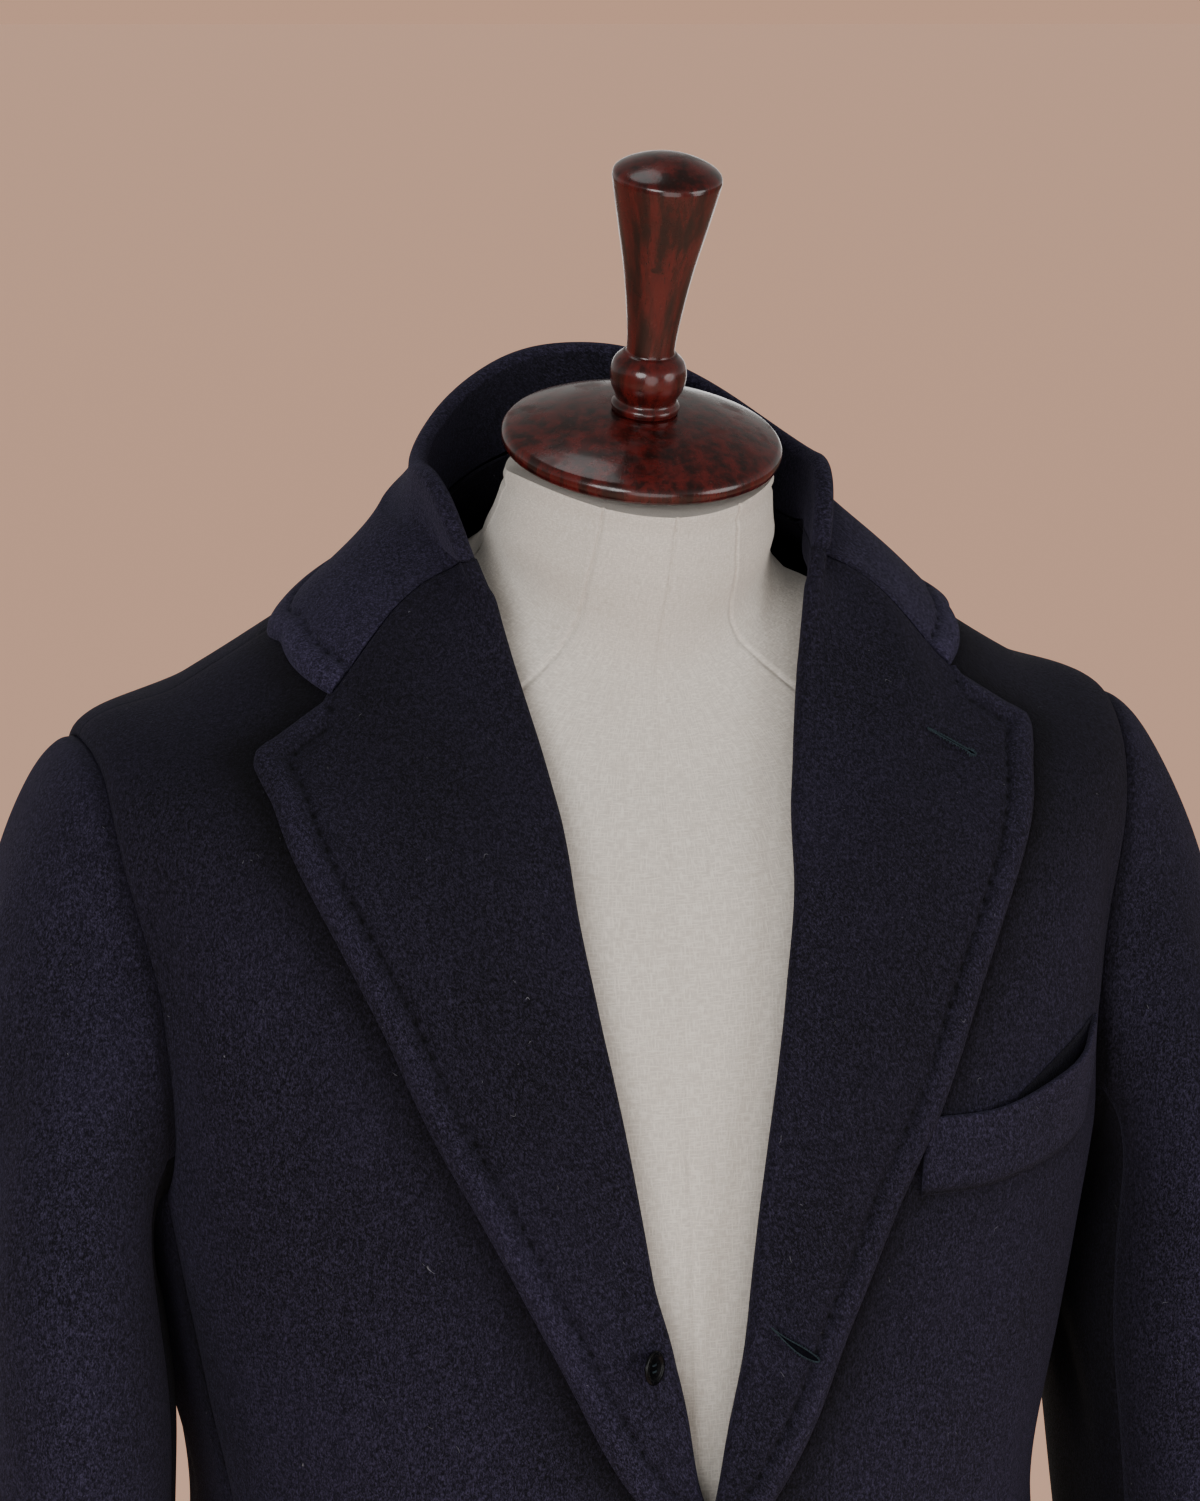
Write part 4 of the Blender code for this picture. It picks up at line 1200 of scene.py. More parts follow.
@dataclass(frozen=True)
class ThreadFinish:
    """Twisted silk of buttonholes and stitches."""

    name: str
    dark: Colour
    light: Colour
    gloss: float = 0.15

    def material(self) -> bpy.types.Material:
        """The thread's material."""
        made, g, shader = new_material(self.name)
        nap = g.effect("Nap", {"Fibre Scale": 1800.0})
        g.finish(shader, g.mix(nap["Fibre"], self.dark, self.light),
                 g.remap(nap["Mottle"], 0.0, 1.0, 0.55, 0.75), nap["Height"], (0.5, 0.0003),
                 {"Specular IOR Level": self.gloss})
        return made


class Finishes:
    """One material for each finish of the coat and its form."""

    def __init__(self) -> None:
        """Makes every material."""
        arm_lean, brushed = (0.1, -0.12, 0.0), (0.0500, 0.0420, 0.0900)
        # The wool pieces are lit and shaded copies of one cloth: their shades are painted shade, and the
        # undersleeve's wool is the sleeve's in deeper painted shade and without sheen.
        self.body = WoolFinish("wool body", shade=0.60, fibre=brushed, sheen=0.040).material()
        self.lapel = WoolFinish("wool lapel", lean=(0.0, 0.30, 0.0), shade=0.56,
                                sheen=0.040).material()
        self.collar = WoolFinish("wool collar", lean=(0.0, 0.95, 0.6), shade=0.84).material()
        self.sleeve = WoolFinish("wool sleeve", lean=arm_lean, shade=0.78, sheen=0.055).material()
        self.undersleeve = WoolFinish("wool undersleeve", lean=arm_lean, shade=0.62,
                                      sheen=0.0).material()
        self.welt = WoolFinish("wool welt", lean=(0.0, 0.25, 0.0), shade=0.78).material()
        self.silk = ThreadFinish("buttonhole silk", (0.0070, 0.0120, 0.0160),
                                 (0.0200, 0.0330, 0.0420)).material()
        # A dark sheet of painted shade for the inside of the buttonhole slits.
        self.shadow = ThreadFinish("slit shadow", (0.0024, 0.0025, 0.0038),
                                   (0.0050, 0.0050, 0.0072), 0.0).material()
        self.horn = HardFinish("button horn", (0.0012, 0.0014, 0.0020), (0.0036, 0.0040, 0.0050),
                               0.24, gloss=0.16).material()
        self.canvas = CanvasFinish().material()
        self.wood = WoodFinish("turned wood", tilt=NECK_TILT).material()
        self.knob = WoodFinish("turned wood handled", tilt=NECK_TILT, rubbed=0.28).material()
        self.paint = HardFinish("stand paint", (0.012, 0.012, 0.013), (0.022, 0.022, 0.024), 0.38,
                                40.0).material()


# ---------------------------------------------------------------------------------------------
# Fitting pieces to the frame
# ---------------------------------------------------------------------------------------------
def fit_piece(obj: bpy.types.Object, material: bpy.types.Material, slot: Slot, *nodes: str) -> None:
    """Dresses a piece and joins it to the frame.

    Args:
        obj: the new piece.
        material: its material.
        slot: not used.
        nodes: the solids that it stands for.
    """
    obj.data.materials.clear()
    obj.data.materials.append(material)
    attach(obj, "root")
    if nodes:
        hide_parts(*nodes)
    LOG.info("%s: %d faces", obj.name, len(obj.data.polygons))


@dataclass
class EdgeDistances:
    """Distances of a grid's points from its four edges, along its own lines."""

    from_start: Array
    from_end: Array
    from_first: Array
    from_last: Array

    @classmethod
    def of(cls, grid: Array) -> "EdgeDistances":
        """The distances of one grid, whose rows run from first to last.

        Args:
            grid: rows of points.

        Returns:
            The distances.
        """
        across = np.linalg.norm(np.diff(grid, axis=1), axis=-1)
        across = np.concatenate([np.zeros((len(grid), 1)), np.cumsum(across, axis=1)], axis=1)
        along = np.linalg.norm(np.diff(grid, axis=0), axis=-1)
        along = np.concatenate([np.zeros((1, grid.shape[1])), np.cumsum(along, axis=0)])
        return cls(across, across[:, -1:] - across, along, along[-1:] - along)


def crowded(count: int, pull: float = 0.55) -> Array:
    """Fractions from 0 to 1 that crowd towards both ends."""
    t = np.linspace(0, 1, count)
    return (1 - pull) * t + pull * (0.5 - 0.5 * np.cos(np.pi * t))


def swelled_edge(distance: Array, along: Array) -> tuple[Array, Array]:
    """Relief of a thick, pick-stitched edge, with its painted light and shade.

    Args:
        distance: distance from the edge.
        along: distance along the edge.

    Returns:
        Height of the rounded band and its pulled-in stitches, and the painted highlight on the band and
        painted shade in the stitch line.
    """
    near = np.clip(1 - distance / EDGE_ROUND, 0, 1)
    band = BAND_SWELL * np.sin(np.pi * np.clip(distance / SWELL_WIDTH, 0, 1))
    band = band - EDGE_DROP * (1 - np.sqrt(1 - near**2))
    pull = 0.5 + 0.5 * np.cos(2 * np.pi * along / STITCH_PITCH + 1.1 * np.sin(along * 47.0))
    weight = 0.75 + 0.25 * np.sin(along * 131.0)
    line = bell(distance - SWELL_WIDTH, 0.0017)
    stitch = bell(distance - SWELL_WIDTH, 0.0011) * pull**3 * weight
    # Painted highlight along the rounded band, and painted shade in the stitch line and the stitches'
    # dimples.
    tone = 0.56 * bell(distance - 0.0050, 0.0046) - 0.34 * line - 1.10 * stitch
    return band - line * 0.0009 - stitch * 0.0010, tone


def set_painted_light(obj: bpy.types.Object, tone: Array) -> None:
    """Stores each point's painted light and shade: -1 for deep painted shade in nooks, 0 for plain cloth, 1
    for painted highlight on edges.
    """
    attribute = obj.data.attributes.new("tone", "FLOAT", "POINT")
    attribute.data.foreach_set("value", np.clip(tone, -1, 1).astype(np.float32).ravel())


def shell_painted_light(outer: Array, inner: float) -> Array:
    """Painted light and shade for the points of a cloth shell, from that of its right side and of its wrong
    side.

    Args:
        outer: painted light and shade of the right side's grid.
        inner: painted shade of the wrong side.

    Returns:
        The painted light and shade of each point of the shell.
    """
    edge = outer[rim_places(*outer.shape)]
    # The rim's middle gets painted shade, and its underside the wrong side's painted shade.
    rest = [np.full(outer.size, inner), edge, edge - 0.3, edge * 0 + inner]
    return np.concatenate([outer.ravel(), *rest])


@dataclass
class ClothPiece:
    """A flat piece of cloth as it hangs: both its sides, on the wearer's left half."""

    name: str
    over: Array
    under: Array
    # Painted light and shade of the right side's points, and painted shade of the wrong side.
    tone: Array
    side: Side
    wrong_side_tone: float = WRONG_SIDE_PAINTED_SHADE

    def sew(self, wool: bpy.types.Material, rests_on: Sequence[str], *nodes: str) -> None:
        """Args:
            wool: its material.
            rests_on: not used.
            nodes: the solids that it stands for.
        """
        over, under = mirrored(self.over, self.side), mirrored(self.under, self.side)
        obj = shaded_object(self.name, *cloth_shell(over, under), CLOTH_SHARP)
        set_painted_light(obj, shell_painted_light(self.tone, self.wrong_side_tone))
        fit_piece(obj, wool, Slot.WOOL, *nodes)


def rounded_corner(grid: Array, d_row: Array, d_column: Array, to_row: Array, to_column: Array,
                   radius: float) -> Array:
    """Rounds one corner of a grid.

    Args:
        grid: the points.
        d_row: distance of each point from the end row.
        d_column: distance of each point from the end column.
        to_row: unit direction towards the end row.
        to_column: unit direction towards the end column.
        radius: the corner's radius.

    Returns:
        The grid with its corner drawn in.
    """
    x = np.clip(radius - d_row, 0, None) / radius
    y = np.clip(radius - d_column, 0, None) / radius
    shift_x = x * (1 - np.sqrt(1 - np.clip(y, 0, 1) ** 2 / 2)) * radius
    shift_y = y * (1 - np.sqrt(1 - np.clip(x, 0, 1) ** 2 / 2)) * radius
    return grid - shift_x[..., None] * to_row - shift_y[..., None] * to_column


# ---------------------------------------------------------------------------------------------
# The coat's body
# ---------------------------------------------------------------------------------------------
@dataclass
class Drape:
    """How the cloth of the body hangs: creases for each side, on top of slow waves."""

    body: BodySurface
    wave: float = 0.0011
    shared: tuple[Crease, ...] = (
        Crease((57.0, 7.7), (60.5, 6.2), -0.0030, 0.013, 0.004),     # hollow before the armhole
        Crease((46.0, 7.6), (50.0, 6.3), 0.0014, 0.020),
        Crease((121.0, 7.6), (124.0, 6.2), -0.0026, 0.014, -0.004),  # hollow behind it
        Crease((134.0, 7.9), (131.0, 5.4), 0.0030, 0.021, 0.006),    # shoulder blade drape
        Crease((158.0, 8.6), (152.0, 7.0), 0.0015, 0.024),
        Crease((100.0, 5.6), (92.0, 4.1), -0.0030, 0.012, 0.005),    # under the arm to the waist
        Crease((84.0, 5.7), (88.0, 4.4), 0.0022, 0.012),
        Crease((118.0, 4.3), (145.0, 4.0), -0.0024, 0.013, 0.006),   # small of the back
        Crease((122.0, 3.9), (150.0, 3.75), 0.0020, 0.014, 0.004),
        Crease((128.0, 3.1), (134.0, 0.0), 0.0050, 0.030, 0.004),    # skirt, back
        Crease((150.0, 2.6), (154.0, 0.0), -0.0050, 0.028, -0.006),
        Crease((96.0, 3.0), (98.0, 0.0), -0.0055, 0.026, 0.004),     # skirt, side
        Crease((78.0, 2.6), (80.0, 0.0), 0.0050, 0.030),
    )
    left: tuple[Crease, ...] = (
        Crease((5.0, 3.78), (27.0, 4.50), 0.0022, 0.014, -0.006),    # drag lines from the button
        Crease((6.0, 3.62), (34.0, 3.50), -0.0024, 0.015, 0.006),
        Crease((9.0, 3.44), (30.0, 3.00), 0.0018, 0.013, 0.005),
        Crease((24.0, 2.5), (27.0, 0.0), 0.0046, 0.034, 0.006),
        Crease((47.0, 2.7), (52.0, 0.0), -0.0050, 0.030, -0.004),
        Crease((172.0, 4.6), (150.0, 4.9), -0.0016, 0.012, 0.004),
        Crease((40.0, 5.9), (30.0, 5.0), -0.0012, 0.015, 0.004),
    )
    right: tuple[Crease, ...] = (
        Crease((6.0, 3.80), (31.0, 4.40), 0.0020, 0.015, -0.005),
        Crease((9.0, 3.60), (38.0, 3.62), -0.0022, 0.016, 0.007),
        Crease((12.0, 3.35), (26.0, 2.80), 0.0020, 0.012, -0.004),
        Crease((20.0, 2.3), (21.0, 0.0), 0.0040, 0.030, -0.006),
        Crease((42.0, 2.6), (45.0, 0.0), -0.0056, 0.032, 0.005),
        Crease((166.0, 4.5), (148.0, 4.6), -0.0018, 0.014, -0.003),
        Crease((36.0, 6.2), (43.0, 5.2), -0.0013, 0.017, -0.004),
        Crease((66.0, 7.2), (52.0, 6.0), 0.0012, 0.015, 0.003),
    )

    def height(self, theta: Array, level: Array, side: Side) -> Array:
        """Height of the drape above the smooth surface, in metres.

        Args:
            theta: angles of the places, in degrees.
            level: levels of the places.
            side: the wearer's side.

        Returns:
            The height at each place.
        """
        theta, level = np.broadcast_arrays(np.asarray(theta, float), np.asarray(level, float))
        own = self.left if side is Side.LEFT else self.right
        creases = crease_height(theta, level, (*self.shared, *own), self.body.METRES_PER_DEGREE,
                                self.body.METRES_PER_LEVEL)
        meeting = smoothstep(180 - theta, 0, 14)
        middle = smoothstep(theta, 2, 16)
        places = mirrored(self.body.point(theta, level), side)
        waves = slow_waves(places, 7, self.wave) * (1 - smoothstep(level, 8.6, 10.2))
        return creases * meeting * middle + waves

    def lay(self, theta: Array, level: Array, lift: Array, side: Side) -> Array:
        """Points at a lift over the draped surface, on the wearer's left half.

        Args:
            theta: angles of the places, in degrees.
            level: levels of the places.
            lift: height over the drape, in metres.
            side: the wearer's side.

        Returns:
            One point for each place.
        """
        base = self.body.point(theta, level)
        height = self.height(theta, level, side) + lift
        return base + self.body.normal(theta, level) * height[..., None]


@dataclass
class CoatBody:
    """Fronts, side bodies and backs, cut from one surface with seams let into it."""

    pattern: Pattern
    drape: Drape
    finishes: Finishes
    front_grid: tuple[int, int] = (236, 74)
    side_grid: tuple[int, int] = (150, 34)
    back_grid: tuple[int, int] = (204, 62)
    seam_dip: float = 0.0013
    seam_reach: float = 0.0030
    # Painted shade along the seams: its depth, and the width over which it fades.
    seam_tone: float = 0.35
    seam_line: float = 0.0022
    armhole_share: float = 0.04
    dart_depth: float = 0.0013

    def _places(self, inner: EdgeCurve, outer: EdgeCurve, last: int, grid: tuple[int, int]) -> Array:
        """Grid of places between two edges.

        Args:
            inner: one edge, as a function from rows to places.
            outer: the other edge.
            last: the last row.
            grid: how many rows and columns.

        Returns:
            The grid of (theta, level) pairs.
        """
        rows = self.pattern.even_rows(inner, outer, last, grid[0])
        f = crowded(grid[1])[None, :, None]
        return inner(rows)[:, None] * (1 - f) + outer(rows)[:, None] * f

    def front_places(self) -> Array:
        """Places of a front."""
        p = self.pattern
        return self._places(p.front_inner, p.front_outer, p.front_rows, self.front_grid)

    def back_places(self) -> Array:
        """Places of a back."""
        p = self.pattern
        return self._places(p.back_inner, p.back_outer, p.back_rows, self.back_grid)

    def side_places(self) -> Array:
        """Places of a side body, whose top follows the underarm."""
        p = self.pattern
        rows = p.even_rows(p.front_outer, p.back_outer, p.side_rows, self.side_grid[0])
        rows[-1] = p.side_rows
        f = crowded(self.side_grid[1])[None, :, None]
        places = p.front_outer(rows)[:, None] * (1 - f) + p.back_outer(rows)[:, None] * f
        underarm = p.armhole(p.front_at + (p.back_at - p.front_at) * f[0, :, 0])
        bend = underarm - places[-1]
        return places + ((rows / p.side_rows) ** 6)[:, None, None] * bend

    def _panel(self, word: str, places: Array, side: Side, relief: Array | float, tone: Array,
               seams: str) -> None:
        """Builds one panel, whose lower end is its first row.

        Args:
            word: the panel's name without its side.
            places: its grid of places.
            side: the wearer's side.
            relief: height of its wrong side over the draped surface.
            tone: painted light and shade of each place, apart from the painted shade that the seams add.
            seams: which edges are seams, from "start", "end" and "last".
        """
        flat = self.pattern.body.at(places)
        edges = EdgeDistances.of(flat)
        dip = np.zeros(flat.shape[:2])
        for edge in seams.split():
            distance = getattr(edges, f"from_{edge}")
            share = self.armhole_share if edge == "last" else 1.0
            dip = dip - share * self.seam_dip * bell(distance, self.seam_reach)
            # Painted shade along the seam.
            tone = tone - share * self.seam_tone * bell(distance, self.seam_line)
            step = unit(np.gradient(flat, axis=0 if edge == "last" else 1))
            inwards = 1.0 if edge == "start" else -1.0
            at = {"start": np.s_[:, 0], "end": np.s_[:, -1], "last": np.s_[-1]}[edge]
            flat[at] = flat[at] + step[at] * inwards * SEAM_GAP * 2 * share
        normal = self.pattern.body.normal_at(places)
        drape = self.drape.height(places[..., 0], places[..., 1], side)
        under = flat + normal * (drape + relief + dip)[..., None]
        piece = ClothPiece(f"cloth_{word}_{side.word}", under + normal * WALL, under, tone, side)
        piece.sew(self.finishes.body, ["form_torso"], f"{word}_{side.word}")

    def _lapel_gap(self, theta: Array, level: Array) -> Array:
        """Distance from each place to the edge of the lapel or the collar.

        Args:
            theta: angles of the places, in degrees.
            level: levels of the places.

        Returns:
            The distances, in metres.
        """
        p, body = self.pattern, self.pattern.body
        edge = np.concatenate([body.even(p.LAPEL_EDGE, 260), body.even(p.LAPEL_TOP, 40)[::-1],
                               body.even(p.COLLAR_FRONT, 60), body.even(p.COLLAR_EDGE, 240)])
        flat = body.point(theta, level).reshape(-1, 3)
        best = np.full(len(flat), np.inf)
        for part in np.array_split(body.at(edge), 10):
            gap = np.linalg.norm(flat[:, None] - part[None], axis=-1)
            best = np.minimum(best, gap.min(axis=1))
        return best.reshape(theta.shape)

    def _tone(self, theta: Array, level: Array, side: Side) -> Array:
        """Painted light and shade of the body: painted shadow beside the lapel, the collar and the welt,
        painted shade beside the arm, in the drape's troughs and high up, and painted light low down.

        Args:
            theta: angles of the places, in degrees.
            level: levels of the places.
            side: the wearer's side.

        Returns:
            The painted light and shade at each place.
        """
        near = self._lapel_gap(theta, level)
        low = 1 - smoothstep(level, 4.9, 6.3)
        # Painted shadow of the lapel and the collar on the front beside their edges, wider low down.
        tone = -0.62 * bell(near, 0.0125) - (0.10 + 0.40 * low) * bell(near, 0.030)
        # Painted light low down, and painted shade high up towards the shoulders.
        tone = tone + 0.32 * (1 - smoothstep(level, 4.3, 6.6)) - 0.42 * smoothstep(level, 7.0, 8.6)
        if side is Side.LEFT:
            # Painted shade on the left front before the armhole.
            tone = tone - 0.16 * smoothstep(theta, 44, 60) * smoothstep(level, 6.6, 7.6)
        # Painted shade beside and under the arm, reaching further forward low down on the right.
        turn = 10 * low * (side is Side.RIGHT)
        beside_arm = smoothstep(theta, 66 - turn, 78 - turn) * (1 - smoothstep(theta, 108, 122))
        under_arm = beside_arm * smoothstep(level, 3.6, 5.0) * (1 - smoothstep(level, 6.4, 7.4))
        # Painted light on the ridges of the drape, and painted shade in its troughs.
        folds = self.drape.height(theta, level, side) * 42
        # Painted shadow below the chest welt, on the left front.
        welt = np.array([astuple(corner) for corner in ChestWelt.corners])
        below = (np.interp(theta, welt[:, 0], welt[:, 1]) - level) * self.pattern.body.METRES_PER_LEVEL
        on_welt = smoothstep(theta, 24.5, 26.5) * (1 - smoothstep(theta, 53.0, 55.0))
        beneath = 0.42 * bell(below - 0.0010, 0.0050) * on_welt * (side is Side.LEFT)
        return tone - 0.75 * under_arm + folds - beneath

    def _dart(self, theta: Array, level: Array) -> Array:
        """Groove of the front dart.

        Args:
            theta: angles of the places, in degrees.
            level: levels of the places.

        Returns:
            Its height at each place, in metres.
        """
        line = np.array(Pattern.DART)
        at = np.interp(level, line[::-1, 1], line[::-1, 0])
        ends = smoothstep(level, 2.75, 3.1) * (1 - smoothstep(level, 5.35, 5.65))
        across = (theta - at) * self.pattern.body.METRES_PER_DEGREE
        return (-self.dart_depth * bell(across, 0.0030) + 0.0009 * bell(across, 0.011)) * ends

    def _front_extra(self, theta: Array, level: Array) -> tuple[Array, Array]:
        """Relief, and painted light and shade, of a front: its dart and its stitched front edge.

        Args:
            theta: angles of the places, in degrees.
            level: levels of the places.

        Returns:
            The relief in metres, and the painted light and shade, at each place.
        """
        p = self.pattern
        edge = (theta - p.front_edge_theta(np.minimum(level, 3.6))) * p.body.METRES_PER_DEGREE * 1.12
        run = level * p.body.METRES_PER_LEVEL
        height, tone = swelled_edge(edge, run)
        below = 1 - smoothstep(level, 3.55, 3.85)
        dart = self._dart(theta, level)
        # Painted shade in the dart's groove.
        return dart + height * below, tone * below + np.minimum(dart, 0) * 260

    def build(self) -> None:
        """Builds the six panels."""
        fronts, sides, backs = self.front_places(), self.side_places(), self.back_places()
        for side in Side:
            places = self.pattern.tucked(fronts, side)
            relief, tone = self._front_extra(places[..., 0], places[..., 1])
            relief = relief + self.pattern.overlap_lift(places[..., 0], places[..., 1], side)
            tone = tone + self._tone(places[..., 0], places[..., 1], side)
            self._panel("front", places, side, relief, tone, "end last")
            for word, places in (("side", sides), ("back", backs)):
                tone = self._tone(places[..., 0], places[..., 1], side)
                self._panel(word, places, side, 0.0, tone, "start end last")


def collar_bulge(v: Array) -> Array:
    """Lift of the collar and the lapel's top over the hollow of the neck."""
    return 0.0045 * np.sin(np.pi * np.clip(v, 0, 1)) ** 2


def near_edge(count: int, length: float, band_count: int) -> Array:
    """Fractions from 0 to 1 of a length, with many of them in the stitched band next to 1.

    Args:
        count: how many fractions.
        length: the length in metres.
        band_count: how many of them lie in the band.

    Returns:
        The fractions, rising.
    """
    split = 1 - STITCHED_BAND / length
    inner = np.linspace(0, split, count - band_count, endpoint=False)
    return np.concatenate([inner, np.linspace(split, 1, band_count)])


@dataclass
class Lapels:
    """The turned-back fronts, from the break up to the gorge, with a rolled inner edge."""

    pattern: Pattern
    drape: Drape
    finishes: Finishes
    rows: int = 340
    columns: int = 60
    band_columns: int = 26
    tip_radius: float = 0.0095
    roll_belly: float = 0.0022

    def places(self) -> tuple[Array, Array, float]:
        """Grid of places, the fraction of each column and the fraction at the notch."""
        body = self.pattern.body
        t = np.linspace(0, 1, self.rows + 1)
        roll = body.at_fraction(Pattern.ROLL, t)
        edge = body.at_fraction(Pattern.LAPEL_EDGE, t)
        gorge = body.even(Pattern.GORGE, 300)
        chain = np.concatenate([gorge, body.even(Pattern.LAPEL_TOP, 120)[1:]])
        run = lengths_along(body.at(chain))
        notch = run[len(gorge) - 1] / run[-1]
        v = near_edge(self.columns, run[-1], self.band_columns)
        v[np.argmin(np.abs(v - notch))] = notch
        top = interpolated(v * run[-1], run, chain)
        places = roll[:, None] * (1 - v)[None, :, None] + edge[:, None] * v[None, :, None]
        return places + (t**5)[:, None, None] * (top - places[-1])[None], v, notch

    def _tone(self, v: Array, t: Array, level: Array, side: Side) -> Array:
        """Painted light and shade of a lapel: painted light at its roll and its foot, and painted shade at
        its breast and its top.

        Args:
            v: fractions across the lapel.
            t: fractions of the way up it.
            level: levels of the places.
            side: the wearer's side.

        Returns:
            The painted light and shade at each place.
        """
        # Painted shade over the lapel's breast.
        patch = bell((v[None] - 0.45) / 0.30, 1.0) * bell((t[:, None] - 0.74) / 0.26, 1.0)
        # Painted light along the roll and towards the foot.
        pale = 0.10 * (1 - smoothstep(v, 0.0, 0.22))[None]
        pale = pale + 0.12 * (1 - smoothstep(t, 0.1, 0.5))[:, None]
        if side is Side.LEFT:
            # Painted shade towards the left lapel's top.
            return pale - 0.16 * patch - 0.10 * smoothstep(level, 8.6, 10.2)
        # Painted light on the right lapel's foot, and painted shade towards its top.
        foot = 0.34 * (1 - smoothstep(level, 5.2, 6.8))
        return pale - 0.16 * patch + foot - 0.30 * smoothstep(level, 7.6, 9.6)

    def _build_side(self, side: Side) -> None:
        """Builds one lapel.

        Args:
            side: the wearer's side.
        """
        body = self.pattern.body
        places, v, notch = self.places()
        places, t = self.pattern.tucked(places[1:], side), np.linspace(0, 1, self.rows + 1)[1:]
        theta, level = places[..., 0], places[..., 1]
        base, normal = body.at(places), body.normal_at(places)
        edges = EdgeDistances.of(base)
        to_edge = unit(base[:, -1:] - base[:, -2:-1])
        to_top = unit(base[-1:] - base[-2:-1])
        base = rounded_corner(base, edges.from_last, edges.from_end, to_top, to_edge, self.tip_radius)
        lift = self.pattern.overlap_lift(theta, level, side) + self.drape.height(theta, level, side)
        gorge = v / notch
        swell = collar_bulge(gorge)[None] * (t**6)[:, None]
        belly = self.roll_belly * np.sin(np.pi * v)[None] ** 2 * np.sin(np.pi * t**0.8)[:, None]
        thick = (LAPEL_WALL * (0.45 + 0.55 * smoothstep(t, 0, 0.16)))[:, None]
        under = lift + WALL + LAPEL_CLEAR + swell + belly
        outer_run = lengths_along(base[:, -1])[:, None]
        top_run = edges.from_start[-1][None]
        past_notch = smoothstep(v, notch + 0.004, notch + 0.02)[None]
        top_far = edges.from_last + (1 - past_notch) * 0.05
        nearer = smoothstep(edges.from_end - top_far, -0.004, 0.004)
        side_height, side_painted_light = swelled_edge(edges.from_end, outer_run)
        top_height, top_painted_light = swelled_edge(top_far, top_run)
        stitched = side_height * (1 - nearer) + top_height * nearer
        # Painted light and shade of the swelled edges and of the lapel itself.
        tone = side_painted_light * (1 - nearer) + top_painted_light * nearer + self._tone(v, t, level, side)
        gorge_seam = -0.0008 * bell(edges.from_last, 0.0022) * (1 - past_notch)
        wave = slow_waves(mirrored(base, side) * 1.3, 21 + side.value, 0.0009)
        over = under + thick + stitched + gorge_seam + wave
        top = base + normal * over[..., None]
        bottom = base + normal * (under + 0.3 * wave)[..., None]
        foot = base[:, 0] + normal[:, 0] * lift[:, :1]
        outwards = unit(np.cross(normal[:, 0], np.gradient(base[:, 0], axis=0)))
        away = unit(base[:, -1] - base[:, -2])
        radius = (over[:, :1] - lift[:, :1]) / 2
        middle = (top[:, 0] + foot) / 2
        up = unit(top[:, 0] - foot)
        angles = np.radians(np.linspace(172, 8, ROLL_POINTS))
        bulb = [middle + radius * (outwards * math.sin(a) + up * math.cos(a)) for a in angles]
        half = (top[:, -1] - bottom[:, -1]) / 2
        centre = (top[:, -1] + bottom[:, -1]) / 2
        depth = np.linalg.norm(half, axis=-1, keepdims=True)
        rim = [centre + half * math.cos(a) + away * depth * LOOP_RIM * math.sin(a)
               for a in np.radians([36, 72, 108, 144])]
        loops = np.stack([*np.moveaxis(top, 1, 0), *rim, *np.moveaxis(bottom[:, ::-1], 1, 0), foot, *bulb], 1)
        count = len(v)
        pairs = [(count + 1, count + 2), (count + 3, count)]
        start = count + 4
        pairs += [(start + k, count - 1 - k) for k in range(count)]
        tail = start + count
        pairs += [(tail + k, tail + ROLL_POINTS + 1 - k) for k in range(1, 7)] + [(tail + 7, tail + 7)]
        strip = swept_strip(mirrored(loops, side), pairs)
        obj = shaded_object(f"cloth_lapel_{side.word}", *strip, ROLLED_SHARP)
        # Painted shade along the gorge seam, fading towards the edge.
        seam_shade = (1 - past_notch) * (1 - 0.8 * smoothstep(v, 0.15, 0.4))
        tone = tone - 0.40 * bell(edges.from_last, 0.0020) * seam_shade
        # Painted shade round the outer edge, deepest on its underside, and on the wrong side; the roll takes
        # the value at its fold.
        ends = tone[:, -1:] + np.array([[0.0, -0.1, -0.4, -0.6]])
        roll = np.repeat(tone[:, :1], ROLL_POINTS + 1, axis=1)
        wrong_side = np.full(tone.shape, WRONG_SIDE_PAINTED_SHADE)
        set_painted_light(obj, np.concatenate([tone, ends, wrong_side, roll], axis=1))
        fit_piece(obj, self.finishes.lapel, Slot.WOOL, f"lapel_{side.word}")

    def build(self) -> None:
        """Builds both lapels."""
        for side in Side:
            self._build_side(side)


